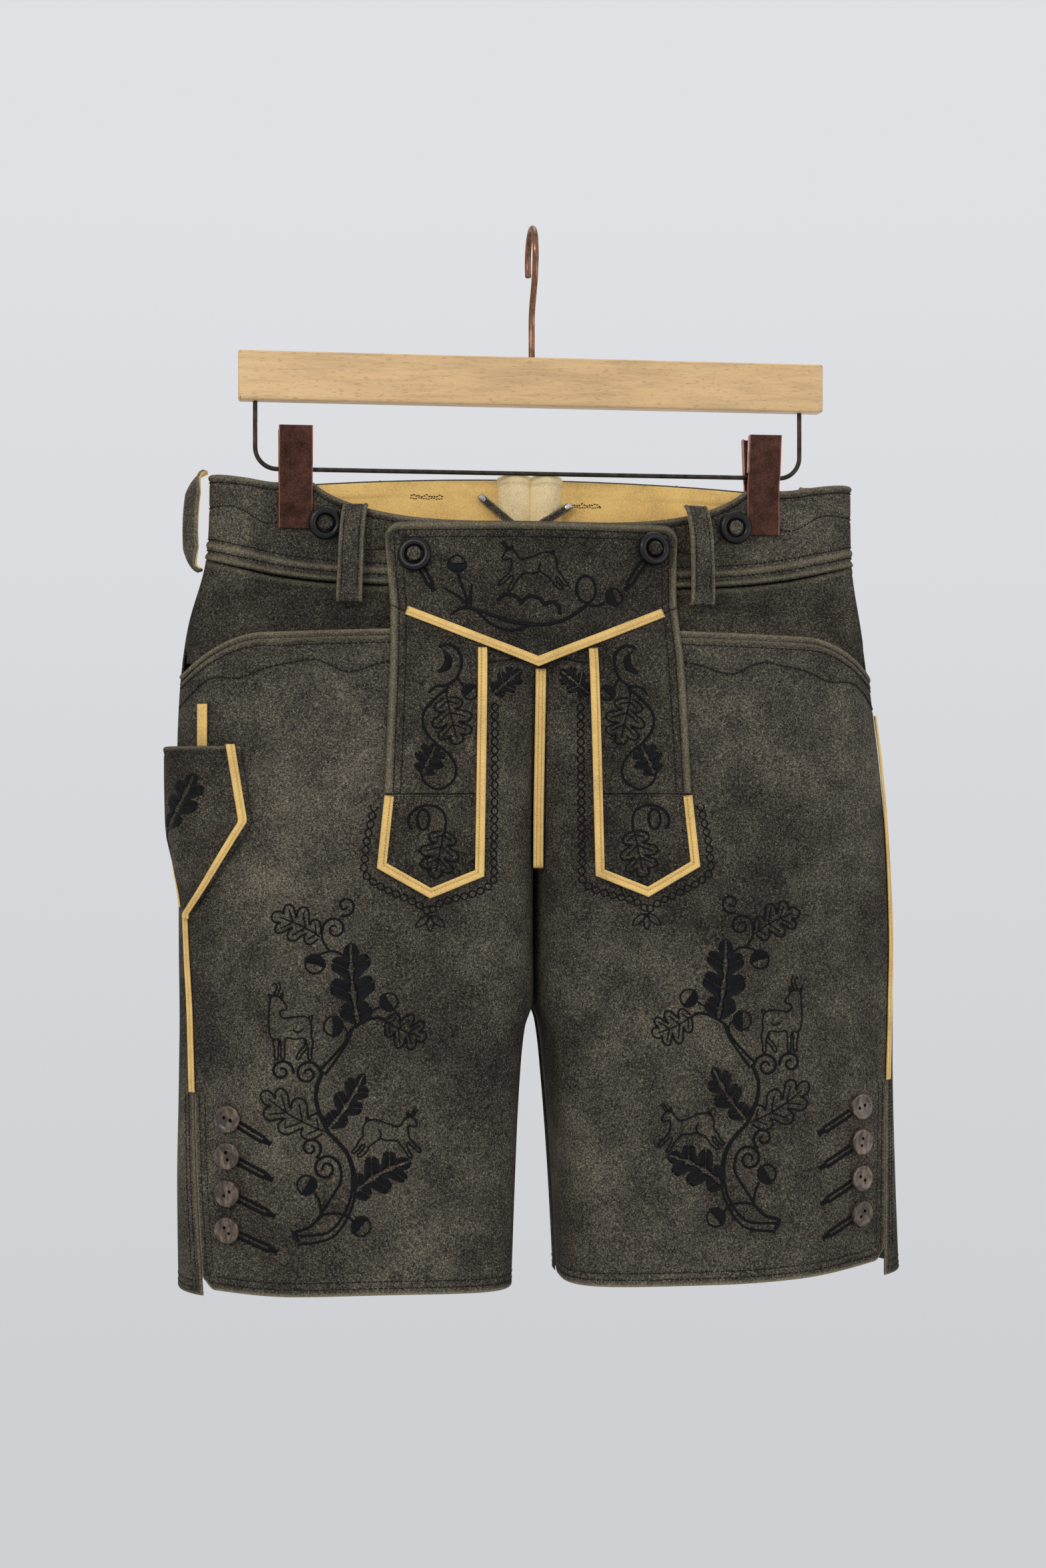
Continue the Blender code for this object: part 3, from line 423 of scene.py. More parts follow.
# ================================================================ edges of the panels
def top_edge(side, girth):
    """Height of the waist's top edge."""
    x = np.abs(body(side, girth, TOP_CLIP)[..., 0])
    inner_end, outer_end = CLIP_X - CLIP_FLAT, CLIP_X + CLIP_FLAT
    u = np.clip(x / inner_end, 0.0, 1.0)
    outside = TOP_CLIP + (TOP_SIDE - TOP_CLIP) * smooth(outer_end, 212.0, x)
    inside = np.where(girth < 1.0, TOP_CLIP - TOP_SAG * (1.0 - u**3.2) ** 0.8,
                      TOP_CLIP + TOP_RISE * (1.0 - u * u))
    return np.where(x >= inner_end, outside, inside)


def band_edge(side, girth):
    """Height of the seam under the waistband."""
    share = np.abs(body(side, girth, BAND_LOW_SIDE)[..., 0]) / 214.0
    drop = np.where(girth < 1.0, BAND_LOW_DROP, 4.0)
    return BAND_LOW_SIDE - drop * np.maximum(0.0, 1.0 - share**3)


def mouth_edge(girth):
    """Height of a front's top edge, the pocket mouth, which rounds down to the side seam."""
    return MOUTH - 3.0 * smooth(0.4, 0.75, girth) - 26.0 * smooth(0.70, 0.99, girth)


def hem_edge(side, girth):
    """Height of a front's hem, which rounds up into the side slit."""
    sway = -2.0 * smooth(0.5, 0.0, girth) if side < 0 else 6.5 * smooth(0.45, 0.85, girth)
    return HEM_FRONT + sway + 2.5 * smooth(0.6, 0.8, girth) + 8.0 * smooth(0.785, 0.835, girth)


def side_seam(z):
    return linear(SIDE_SEAM, z)


def flap_half(z):
    return linear(FLAP_HALF, z)


def v_line(share):
    """Height of the V seam across the flap; share is 0 in the middle and 1 at an edge."""
    return V_MIDDLE + (V_SIDE - V_MIDDLE) * np.abs(share)


def strip_x(side, share, z):
    """x across a strip: share is 0 at its inner edge and 1 at its outer edge."""
    inner = linear(STRIP_INNER, z)
    return FLAP_X + side * (inner + (flap_half(z) - inner) * share)


def tip_edge(share):
    """Height of the pointed lower edge of a strip."""
    return np.interp(share, (0.0, 0.5, 1.0), (TIP_INNER[1], TIP_POINT[1], TIP_OUTER[1]))


def scallop(x, wave, swing):
    """The rise and fall of a decorative wavy seam."""
    turn = 2.0 * math.pi * np.abs(x) / wave
    return swing * (np.sin(turn) + 0.28 * np.sin(2.0 * turn + 0.6))


# ================================================================ making pieces
def collection():
    group = bpy.data.collections.get("lederhosen")
    if group is None:
        group = bpy.data.collections.new("lederhosen")
        bpy.context.scene.collection.children.link(group)
    return group


def add_mesh(name, points, faces, materials, wear_and_painted_light=None, material_index=None):
    """Smooth-shaded object from points in millimetres."""
    mesh = bpy.data.meshes.new(name)
    mesh.from_pydata((np.asarray(points) * MM).tolist(), [], np.asarray(faces).tolist())
    for material in materials:
        mesh.materials.append(material)
    mesh.shade_smooth()
    if wear_and_painted_light is not None:
        mesh.attributes.new("wear_and_painted_light", "FLOAT", "POINT").data.foreach_set("value", wear_and_painted_light.ravel())
    if material_index is not None:
        mesh.polygons.foreach_set("material_index", material_index)
    mesh.update()
    piece = bpy.data.objects.new(name, mesh)
    collection().objects.link(piece)
    return piece


def finished(piece, slot, *nodes):
    """The piece rides on the garment and stands for its CAD nodes."""
    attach(piece, "root")
    if nodes:
        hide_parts(*nodes)
    return piece


def edges_of(points):
    """Distances of each point of a grid from its first and last column, and its top and low row."""
    found = []
    for axis in (0, 1):
        step = np.linalg.norm(np.diff(points, axis=axis), axis=-1)
        start = np.cumsum(step, axis=axis)
        start = np.concatenate([np.zeros_like(start.take([0], axis)), start], axis=axis)
        found += [start, start.take([-1], axis) - start]
    return dict(zip(("first", "last", "top", "low"), found))


def normals_of(points, side=1):
    along = np.gradient(points, axis=0)
    down = np.gradient(points, axis=1)
    return unit(np.cross(down, along) * side)


def add_leather(name, points, thickness, material, side=1, lift=0.0, relief=0.0, wear_and_painted_light=0.0,
                inner=None, slot=None, nodes=()):
    """A leather piece: a closed wall with rounded rims.  points[i, j] is its outer face, where i
    runs round (to the viewer's right when side is 1) and j runs down; lift moves both faces
    out, and relief only the outer one."""
    points = np.asarray(points, float)
    rows, cols = points.shape[:2]
    normal = normals_of(points, side)
    edge = np.min(list(edges_of(points).values()), axis=0)
    half = thickness / 2.0
    away = np.clip(half - edge, 0.0, half)
    roll = half - np.sqrt(np.maximum(0.0, half**2 - away**2))
    relief = np.broadcast_to(relief, (rows, cols)) * smooth(0.0, RIM[-1], edge)
    lift = np.broadcast_to(lift, (rows, cols))
    outer = points + normal * (lift + relief - roll)[..., None]
    inside = points + normal * (lift - thickness + roll)[..., None]

    index = np.arange(rows * cols).reshape(rows, cols)
    within = np.full((rows, cols), -1)
    within[1:-1, 1:-1] = rows * cols + np.arange((rows - 2) * (cols - 2)).reshape(rows - 2, cols - 2)
    back = np.where(within >= 0, within, index)

    def quads(grid):
        return np.stack([grid[:-1, :-1], grid[:-1, 1:], grid[1:, 1:], grid[1:, :-1]],
                        axis=-1).reshape(-1, 4)

    front_faces, back_faces = quads(index), quads(back)[:, ::-1]
    if side < 0:
        front_faces, back_faces = front_faces[:, ::-1], back_faces[:, ::-1]
    shade = np.broadcast_to(wear_and_painted_light, (rows, cols))
    piece = add_mesh(name, np.concatenate([outer.reshape(-1, 3), inside[1:-1, 1:-1].reshape(-1, 3)]),
                     np.concatenate([front_faces, back_faces]),
                     [material] if inner is None else [material, inner],
                     wear_and_painted_light=np.concatenate([shade.ravel(), shade[1:-1, 1:-1].ravel() * 0.0]),
                     material_index=None if inner is None else np.repeat(
                         (0, 1), (len(front_faces), len(back_faces))))
    finished(piece, slot or material.name.replace("_finish", ""), *nodes)
    declare_cut(points)
    return piece


def declare_cut(points):
    """Works out the size and area of the flat piece that the leather was cut to; nothing uses them."""
    wide = np.linalg.norm(np.diff(points, axis=0), axis=-1).sum(axis=0).max()
    long = np.linalg.norm(np.diff(points, axis=1), axis=-1).sum(axis=1).max()
    across = points[1:, :-1] - points[:-1, :-1]
    down = points[:-1, 1:] - points[:-1, :-1]
    area = np.linalg.norm(np.cross(across, down), axis=-1).sum()
    flat = (max(10.0, wide) * MM, max(10.0, long) * MM)
    area = min(flat[0] * flat[1], max(0.3 * flat[0] * flat[1], area * MM * MM))


def ribbon(path, width, columns=7):
    """Flat points (x, z) of a strip along a path, mitred at its corners."""
    path = np.asarray(path, float)
    legs = unit(np.diff(path, axis=0))
    before = np.concatenate([legs[:1], legs])
    across = -square_to(unit(before + np.concatenate([legs, legs[-1:]])))
    straightness = np.sum(across * -square_to(before), axis=-1)
    reach = width / 2.0 / np.maximum(0.35, straightness)
    shares = spread(width, width / (columns - 1)) * 2.0 - 1.0
    return path[:, None, :] + across[:, None, :] * (reach[:, None] * -shares)[..., None]


# ================================================================ materials
def opaque(value):
    """A colour with its alpha; a socket is left as it is."""
    return (*value, 1.0) if isinstance(value, tuple) else value


class Finish:
    """A procedural material, whose nodes are added in order."""

    def __init__(self, name, roughness, metallic=0.0, **sockets):
        self.material = bpy.data.materials.new(name)
        self.material.use_nodes = True
        self.tree = self.material.node_tree
        self.shader = self.tree.nodes["Principled BSDF"]
        self.shader.inputs["Roughness"].default_value = roughness
        self.shader.inputs["Metallic"].default_value = metallic
        for word, value in sockets.items():
            socket = word.replace("_", " ").title().replace("Ior", "IOR")
            self.shader.inputs[socket].default_value = value
        self.place = self.add("ShaderNodeTexCoord").outputs["Object"]

    def add(self, kind, sockets=None, **settings):
        node = self.tree.nodes.new(kind)
        for key, value in settings.items():
            setattr(node, key, value)
        for key, value in (sockets or {}).items():
            self.join(value, node.inputs[key])
        return node

    def join(self, value, socket):
        if isinstance(value, bpy.types.NodeSocket):
            self.tree.links.new(value, socket)
        else:
            socket.default_value = value

    def stretched(self, scale):
        """Object coordinates stretched along an axis."""
        return self.add("ShaderNodeMapping", {"Vector": self.place, "Scale": scale}).outputs[0]

    def noise(self, scale, detail=2.0, roughness=0.5, place=None, distortion=0.0):
        return self.add("ShaderNodeTexNoise", {"Vector": place or self.place, "Scale": scale,
                                               "Detail": detail, "Roughness": roughness,
                                               "Distortion": distortion}).outputs["Fac"]

    def cells(self, scale, place=None):
        return self.add("ShaderNodeTexVoronoi", {"Vector": place or self.place,
                                                 "Scale": scale}).outputs["Distance"]

    def maths(self, kind, a, b):
        return self.add("ShaderNodeMath", {0: a, 1: b}, operation=kind).outputs[0]

    def blend(self, *pairs):
        """Weighted sum of noises: (value, weight), ..."""
        total = None
        for value, weight in pairs:
            part = self.maths("MULTIPLY", value, weight)
            total = part if total is None else self.maths("ADD", total, part)
        return total

    def ramp(self, value, *stops):
        """Colours or greys at positions along value."""
        node = self.add("ShaderNodeValToRGB", {"Fac": value})
        marks = node.color_ramp.elements
        while len(marks) < len(stops):
            marks.new(0.5)
        for mark, (position, colour) in zip(marks, stops):
            mark.position = position
            mark.color = opaque(colour if hasattr(colour, "__len__") else (colour,) * 3)
        return node.outputs["Color"]

    def mix(self, factor, a, b, blend_type="MIX"):
        return self.add("ShaderNodeMix", {0: factor, 6: opaque(a), 7: opaque(b)},
                        data_type="RGBA", blend_type=blend_type).outputs[2]

    def bump(self, height, distance, strength=1.0):
        before = self.shader.inputs["Normal"].links
        sockets = {"Height": height, "Distance": distance, "Strength": strength}
        if before:
            sockets["Normal"] = before[0].from_socket
        self.join(self.add("ShaderNodeBump", sockets).outputs[0], self.shader.inputs["Normal"])

    def colour(self, value):
        self.join(opaque(value), self.shader.inputs["Base Color"])

    def attribute(self, name):
        return self.add("ShaderNodeAttribute", attribute_name=name).outputs["Fac"]


def tinted(colour, share):
    return tuple(min(1.0, channel * share) for channel in colour)


def chosen(group, colour):
    """A colour from the panel."""
    return tuple(getattr(getattr(bpy.context.scene, f"lederhosen_{group}"), colour))


def known(name, make):
    """The material of that name, made the first time it is asked for."""
    return bpy.data.materials.get(f"{name}_finish") or make(f"{name}_finish")


def make_suede(name, tone):
    """Brushed suede: a salt-and-pepper nap in soft clouds, paler where it is rubbed, with a painted
    highlight along rolled edges and raised rolls.
    """
    low, ground, high = (tinted(chosen("leather", word), tone) for word in ("low", "ground", "high"))
    # rubbed is the palest nap, and also the colour of the painted highlight on the crests of the rolls.
    rubbed = chosen("leather", "rubbed")
    finish = Finish(name, 0.95, specular_ior_level=0.12)
    clouds = finish.noise(9.0, 3.0, 0.55)
    patches = finish.noise(46.0, 4.0, 0.65)
    nap = finish.noise(800.0, 3.0, 0.75)
    hairs = finish.noise(1800.0, 2.0, 0.7)
    value = finish.blend((clouds, 0.17), (patches, 0.14), (nap, 0.42), (hairs, 0.45))
    value = finish.maths("SUBTRACT", value, 0.09)
    colour = finish.ramp(value, (0.41, low), (0.50, ground), (0.57, high), (0.66, rubbed))
    # The mesh's mask mixes in the rubbed colour: real wear at cut edges and hems, and a painted highlight on
    # the crests of rolled edges and raised rolls.
    wear_and_painted_light = finish.maths("MULTIPLY", finish.attribute("wear_and_painted_light"),
                        finish.ramp(hairs, (0.35, 0.15), (0.62, 1.0)))
    finish.colour(finish.mix(wear_and_painted_light, colour, rubbed))
    finish.bump(finish.blend((nap, 0.5), (hairs, 0.5)), 0.0006, 0.75)
    finish.bump(finish.noise(170.0, 3.0, 0.6), 0.0012, 0.35)
    return finish.material


def suede():
    return known("suede", lambda name: make_suede(name, 1.0))


def dark_suede():
    return known("dark_suede", lambda name: make_suede(name, 0.72))


def make_chamois(name, colour):
    """Fleecy chamois leather, its pile brushed one way and another, with painted shade along its sunk seams
    and folds.
    """
    finish = Finish(name, 0.93, specular_ior_level=0.15)
    clouds = finish.noise(34.0, 3.0, 0.6)
    pile = finish.noise(900.0, 3.0, 0.75)
    shade = finish.ramp(finish.blend((clouds, 0.45), (pile, 0.55)),
                        (0.32, tinted(colour, 0.58)), (0.5, colour), (0.7, tinted(colour, 1.28)))
    # The mesh's mask darkens the chamois along its sunk seams and in the fold between the gusset's pleats:
    # painted shade.
    finish.colour(finish.mix(finish.attribute("wear_and_painted_light"), shade, tinted(colour, 0.42)))
    finish.bump(pile, 0.0007, 0.8)
    finish.bump(finish.noise(220.0, 2.0, 0.6), 0.0009, 0.4)
    return finish.material


def chamois():
    return known("chamois", lambda name: make_chamois(name, chosen("leather", "chamois")))


def pale_chamois():
    return known("pale_chamois", lambda name: make_chamois(name, chosen("leather", "pale_chamois")))


def make_thread(name, colour, roughness):
    """Twisted thread: fine slanting plies."""
    finish = Finish(name, roughness, specular_ior_level=0.2)
    ply = finish.noise(1400.0, 1.0, 0.5)
    finish.colour(finish.ramp(ply, (0.35, tinted(colour, 0.6)), (0.65, tinted(colour, 1.6))))
    finish.bump(ply, 0.0002, 0.5)
    return finish.material


def thread():
    return known("thread", lambda name: make_thread(name, chosen("thread", "embroidery"), 0.5))


def seam_thread():
    return known("seam_thread", lambda name: make_thread(name, chosen("thread", "seams"), 0.75))


def pale_thread():
    return known("pale_thread", lambda name: make_thread(name, chosen("thread", "piping"), 0.8))


# ================================================================ sewing
class Sewing:
    """Stitches laid on a surface.  place(x, z, out) turns flat millimetres into space."""

    def __init__(self, place):
        self.place = place
        self.rows = []

    def stitch(self, starts, ends, radius, sunk=0.25):
        """Stitches between pairs of flat points; sunk is the share of their radius below."""
        starts, ends = np.atleast_2d(starts), np.atleast_2d(ends)
        low = self.place(starts[:, 0], starts[:, 1], 0.0)
        end = self.place(ends[:, 0], ends[:, 1], 0.0)
        middle = (starts + ends) / 2.0
        base = self.place(middle[:, 0], middle[:, 1], 0.0)
        out = unit(self.place(middle[:, 0], middle[:, 1], 1.0) - base)
        self.rows.append((low, end, base, out, np.full((len(low), 1), radius),
                          np.full((len(low), 1), sunk)))

    def line(self, points, radius=0.5, pitch=2.2, gap=-0.25, sunk=0.25):
        """A row of stitches along a line, each as long as pitch less gap."""
        points = np.asarray(points, float)
        length = run_along(points)[-1]
        marks = np.linspace(0.0, length, max(1, round(length / pitch)) + 1)
        self.stitch(spots_at(points, marks[:-1] + gap / 2.0),
                    spots_at(points, marks[1:] - gap / 2.0), radius, sunk)

    def seam(self, x, z, radius=0.3, gap=0.3, sunk=0.4):
        """A row of machine stitches through the points (x, z)."""
        pitch = bpy.context.scene.lederhosen_thread.stitch_length / MM
        self.line(stack(x, z), radius, pitch, gap, sunk)

    def satin(self, starts, ends, radius=0.45):
        """Threads side by side across a shape."""
        self.stitch(starts, ends, radius, 0.1)

    def pitch(self):
        return bpy.context.scene.lederhosen_thread.satin_pitch / MM

    def cord(self, points, width=1.8, slant=0.3):
        """A raised satin cord: short threads side by side across a line, leaning along it."""
        points = np.asarray(points, float)
        run = run_along(points)
        marks = np.linspace(0.0, run[-1], max(2, round(run[-1] / self.pitch())))
        spots = spots_at(points, marks)
        way = unit(np.gradient(spots, axis=0))
        wide = np.interp(marks, run, np.resize(width, len(run)))
        half = (square_to(way) + way * slant) * wide[:, None] * 0.62
        self.stitch(spots - half, spots + half, 0.42, 0.05)

    def piece(self, name, material, slot="dark_suede"):
        """One mesh of all the stitches: each is a grain, thick in its middle, pointed at its ends."""
        low, end, base, out, radius, sunk = (np.concatenate(column) for column in zip(*self.rows))
        along = unit(end - low)
        across = unit(np.cross(out, along))
        middle = base + out * radius * (0.5 - sunk)
        corners = []
        for share, wide in ((-0.30, 0.92), (0.30, 0.92)):
            spot = middle + (end - low) * share
            corners += [spot + out * radius * wide, spot + across * radius * wide,
                        spot - out * radius * wide, spot - across * radius * wide]
        points = np.stack([low, *corners, end], axis=1)
        shape = []
        for k in range(4):
            after = (k + 1) % 4
            shape += [(0, 1 + k, 1 + after), (9, 5 + after, 5 + k),
                      (1 + k, 5 + k, 5 + after), (1 + k, 5 + after, 1 + after)]
        faces = np.array(shape)[None, :, ::-1] + np.arange(len(points))[:, None, None] * 10
        finished(add_mesh(name, points.reshape(-1, 3), faces.reshape(-1, 3), [material]), slot)


GIRTH_SPAN = 230.0     # millimetres round for each unit of girth, when sewing on the body


def body_place(side):
    """Lays stitches on the body; their x is the way round, in millimetres."""
    return lambda round_, z, out: on_body(side, round_ / GIRTH_SPAN, z, out)


# ================================================================ the breeches' panels
def shares_round(side, first, last, shares, z):
    """Turns shares of the way along the surface into shares of girth, measured at height z."""
    girth = np.linspace(first, last, 1500)
    run = run_along(body(side, girth, z))
    return (np.interp(shares * run[-1], run, girth) - first) / (last - first)


def off_centre(side, points):
    """Keeps a seam's gap to the plane between the two halves."""
    x = side * points[..., 0]
    points[..., 0] = side * (x + SEAM * smooth(20.0, 0.0, x))
    return points


def front_grid(side):
    """Girth, height and point of each place on a leg's front, pocket mouth to hem."""
    across = shares_round(side, 0.0, 0.93, spread(262.0, 2.7, end=14.0), -400.0)
    share, down = grid(across, spread(421.0, 2.9, start=38.0, end=12.0))
    z = mouth_edge(share * 0.99) + down * (HEM_FRONT - MOUTH)
    for _ in range(3):      # the seam's girth depends on the height, and back again
        start = past_seam(side, np.zeros_like(z), z, SEAM / 2.0)
        girth = start + share * (past_seam(side, side_seam(z), z, -2.0 * SEAM) - start)
        high = mouth_edge(girth / MOUTH_END)
        z = high + (hem_edge(side, girth) - high) * down
    return girth, z, off_centre(side, body(side, girth, z))


def back_grid(side):
    """Height and point of each place on a leg's back: waistband to hem, side seam to centre."""
    across = shares_round(side, 0.93, 2.0, spread(300.0, 3.4, start=12.0), -400.0)
    share, down = grid(across, spread(466.0, 3.6, end=12.0))
    z = BAND_LOW_SIDE + down * (HEM_BACK - BAND_LOW_SIDE)
    for _ in range(3):
        start = past_seam(side, side_seam(z), z, SEAM / 2.0)
        girth = start + share * (past_seam(side, 2.0, z, -SEAM / 2.0) - start)
        high = band_edge(side, np.maximum(1.0, girth)) - SEAM
        z = high + (HEM_BACK - high) * down
    return z, off_centre(side, body(side, girth, z))


MOUTH_SEAMS = (4.3, 9.0)      # seams below the pocket mouth
HEM_SEAMS = (4.6, 8.8)        # seams above the hem and beside the slit
WAVE_DROP, WAVE_LENGTH, WAVE_SWING = 23.0, 67.0, 4.0


def mouth_wave(girth, x):
    """Height of the wavy seam below a pocket mouth."""
    return mouth_edge(girth / MOUTH_END) - WAVE_DROP + scallop(x, WAVE_LENGTH, WAVE_SWING)


def hem_relief(edge):
    """A turned hem: a soft roll and two sunk seams."""
    seams = ridge(edge, HEM_SEAMS[0], 0.9) + ridge(edge, HEM_SEAMS[1], 0.9)
    return 0.35 * ridge(edge, 1.8, 1.4) - 0.32 * seams


def add_fronts():
    for side, word in WORDS.items():
        girth, z, points = front_grid(side)
        edges = edges_of(points)
        slit = smooth(SLIT_TOP + 3.0, SLIT_TOP - 3.0, z)
        top = edges["top"]
        relief = 1.3 * ridge(top, 1.9, 1.7) + 0.7 * ridge(top, 6.6, 1.6)
        relief -= 0.8 * ridge(top, MOUTH_SEAMS[0], 0.9) + 0.8 * ridge(top, MOUTH_SEAMS[1], 0.9)
        relief -= 0.9 * ridge(z, mouth_wave(girth, points[..., 0]), 1.3)
        relief += hem_relief(edges["low"]) + hem_relief(edges["last"]) * slit
        # Pale along the hem and the slit's edge, where the nap is rubbed, and on the crests of the pocket
        # mouth's two rolls: rubbed nap and a painted highlight.
        wear_and_painted_light = 1.1 * ridge(edges["low"], 0.5, 1.3) + 0.65 * ridge(top, 1.9, 1.6)
        wear_and_painted_light += 0.35 * ridge(top, 6.6, 1.5) + 0.9 * ridge(edges["last"], 0.4, 1.2) * slit
        add_leather(f"front_{word}_suede", points, LEATHER, suede(), side, relief=relief,
                    wear_and_painted_light=np.clip(wear_and_painted_light, 0.0, 1.0), lift=crease(side, points[..., 0], z, True),
                    nodes=[f"front_{word}"])


def add_backs():
    for side, word in WORDS.items():
        z, points = back_grid(side)
        edges = edges_of(points)
        slit = smooth(SLIT_TOP + 3.0, SLIT_TOP - 3.0, z)
        relief = hem_relief(edges["low"]) + hem_relief(edges["first"]) * slit
        relief += 0.5 * ridge(edges["last"], 2.2, 1.8) * smooth(-520.0, -480.0, z)
        wear_and_painted_light = 0.7 * ridge(edges["low"], 0.3, 0.9) + 0.6 * ridge(edges["first"], 0.3, 0.9) * slit
        add_leather(f"back_{word}_suede", points, LEATHER, suede(), side, relief=relief,
                    wear_and_painted_light=wear_and_painted_light, lift=crease(side, points[..., 0], z, False),
                    nodes=[f"back_{word}"])


def add_hips():
    """The hip pieces, sunk behind the pocket mouths."""
    for side, word in WORDS.items():
        end = float(side_seam(HIP_LOW))
        across = shares_round(side, 0.0, end, spread(240.0, 2.8), -260.0) * end
        girth, down = grid(across, spread(80.0, 2.4, start=7.0))
        high = band_edge(side, girth) - SEAM
        z = high + (HIP_LOW + HIP_RISE * smooth(0.78, 0.93, girth) - high) * down
        reach = end + (side_seam(z) - end) * smooth(-302.0, -290.0, z)
        girth = girth / end * past_seam(side, np.minimum(reach, side_seam(z)), z, -SEAM)
        deep = smooth(-232.0, MOUTH, z) * smooth(0.06, 0.3, girth) * smooth(0.96, 0.75, girth)
        sunk = np.maximum(smooth(0.975, 0.92, girth), smooth(-268.0, -284.0, z))
        recess = (LEATHER + 2.0 * SEAM) * sunk + 7.2 * deep
        points = off_centre(side, body(side, girth, z))
        top = edges_of(points)["top"]
        relief = 0.5 * ridge(top, 2.6, 1.6) - 0.35 * ridge(top, 5.2, 0.9)
        # The darker copy of the suede paints the shade of the recess behind the pocket mouth, and the top's
        # roll is paler: rubbed nap and a painted highlight.
        add_leather(f"hip_{word}_suede", points, LEATHER, dark_suede(), side, lift=-recess,
                    relief=relief, wear_and_painted_light=0.25 * ridge(top, 2.6, 1.5), nodes=[f"hip_{word}"])


def band_grid(side, inset):
    """A half of the waistband: centre front round to the gusset."""
    end = float(girth_at(side, GUSSET_HALF + 2.0 * SEAM, -190.0, True))
    across = shares_round(side, 0.0, end, spread(440.0, 2.3), -190.0) * end
    girth, down = grid(across, spread(55.0, 2.0, start=8.0, end=15.0))
    high, low = top_edge(side, girth) - inset * 0.5, band_edge(side, girth)
    z = high + (low - high) * down
    last = girth_at(side, GUSSET_HALF + 2.0 * SEAM, z, True)
    girth = girth / end * last
    return girth, z, off_centre(side, body(side, girth, z))


BAND_WAVE_LENGTH, BAND_WAVE_SWING, BAND_WAVE_DROP = 62.0, 3.4, 23.0
BAND_SEAMS = (5.0, 13.0)      # seams below the waist's edge and above the band's lower edge
FACING_SEAM = 9.0             # seam below the facing's upper edge
FACING_SHORT = 4              # rows by which the facing ends above the band's lower edge
BAND_LAP = 0.9                # the band's lap over the hips' upper edge


def band_wave(side, girth, x):
    """Height of the wavy seam round the waistband."""
    return top_edge(side, girth) - BAND_WAVE_DROP + scallop(x, BAND_WAVE_LENGTH, BAND_WAVE_SWING)


def add_bands():
    """The waistband and the chamois facing inside it."""
    for side, word in WORDS.items():
        girth, z, points = band_grid(side, 0.0)
        points[:, -1, 2] -= BAND_LAP
        edges = edges_of(points)
        top, low = edges["top"], edges["low"]
        relief = 0.8 * ridge(top, 2.0, 1.6) - 0.7 * ridge(top, BAND_SEAMS[0], 0.9)
        relief -= 0.7 * ridge(z, band_wave(side, girth, points[..., 0]), 1.3)
        relief += 0.9 * ridge(low, 2.2, 1.5) + 0.9 * ridge(low, 10.0, 1.9)
        relief -= 0.7 * ridge(low, 5.6, 1.0) + 0.7 * ridge(low, BAND_SEAMS[1], 0.9)
        # Pale on the crests of the band's rolls: rubbed nap and a painted highlight.
        wear_and_painted_light = 0.5 * ridge(top, 1.2, 1.4) + 0.45 * ridge(low, 2.2, 1.4) + 0.5 * ridge(low, 10.0, 1.6)
        add_leather(f"waistband_{word}_suede", points, BAND, suede(), side, relief=relief,
                    wear_and_painted_light=wear_and_painted_light, nodes=[f"waistband_{word}"])
        points = band_grid(side, BAND + SEAM)[2][:, :-FACING_SHORT]
        top = edges_of(points)["top"]
        # The facing is darker along its sunk seam: painted shade.
        add_leather(f"facing_{word}_chamois", points, FACING, chamois(), -side,
                    lift=BAND + SEAM + FACING, relief=-0.3 * ridge(top, FACING_SEAM, 0.8),
                    wear_and_painted_light=0.5 * ridge(top, FACING_SEAM, 0.7), slot="chamois",
                    nodes=[f"facing_{word}"])


# ================================================================ gusset and lace
def add_gusset():
    """Two soft pleats between the ends of the waistband, hemmed at their tops."""
    share, down = grid(spread(60.0, 1.2), spread(60.0, 1.6, start=8.0))
    half = GUSSET_HALF + GUSSET_LAP
    x = half * (1.0 - 2.0 * share)
    z = GUSSET_TOP + (GUSSET_LOW - GUSSET_TOP) * down
    pleat = np.abs(np.sin(math.pi * x / half))
    z = z + (2.6 * pleat**0.3 - 0.6) * (1.0 - down)
    roll = 1.5 + GUSSET_ROLL * pleat**0.7 * (1.0 - 0.6 * down)
    points = np.stack([x, depth(1, np.abs(x), z, False) - roll, z], axis=-1)
    top = edges_of(points)["top"]
    # The side that shows is the inner one, seen past the front of the waist.
    # The mask darkens the gusset along its sunk hem seam and in the fold between its pleats: painted shade.
    add_leather("gusset_chamois", points, LEATHER, pale_chamois(), -1, lift=LEATHER,
                relief=0.45 * smooth(6.4, 5.4, top) - 0.3 * ridge(top, 6.0, 0.7),
                wear_and_painted_light=0.45 * ridge(top, 6.0, 0.6) + 0.3 * ridge(np.abs(x), 0.0, 1.2),
                slot="chamois", nodes=["gusset"])


LACE_POINTS = ((-32.0, -175.0), (-17.0, -188.0), (-4.0, -197.0), (9.0, -190.0), (25.0, -180.0))
LACE_WIDTH, LACE_THICK = 5.0, 1.4


def on_lace(x, z, out=0.0):
    return np.stack([x, 2.6 + 0.0035 * x * x - out, z], axis=-1)


def add_lace():
    """The gusset's thong: its two free ends stand up in a V, each with a metal tip."""
    flat = ribbon(curve(LACE_POINTS, 1.0), LACE_WIDTH, 7)
    points = on_lace(flat[..., 0], flat[..., 1])
    edges = edges_of(points)
    rim = np.minimum(edges["top"], edges["low"])
    add_leather("lace_suede", points, LACE_THICK, dark_suede(), -1, lift=LACE_THICK,
                wear_and_painted_light=ridge(rim, 0.0, 0.7), nodes=["lace"])


# ================================================================ flap
FLAP_ROLL, FLAP_SEAMS = 2.4, (5.6, 10.2)


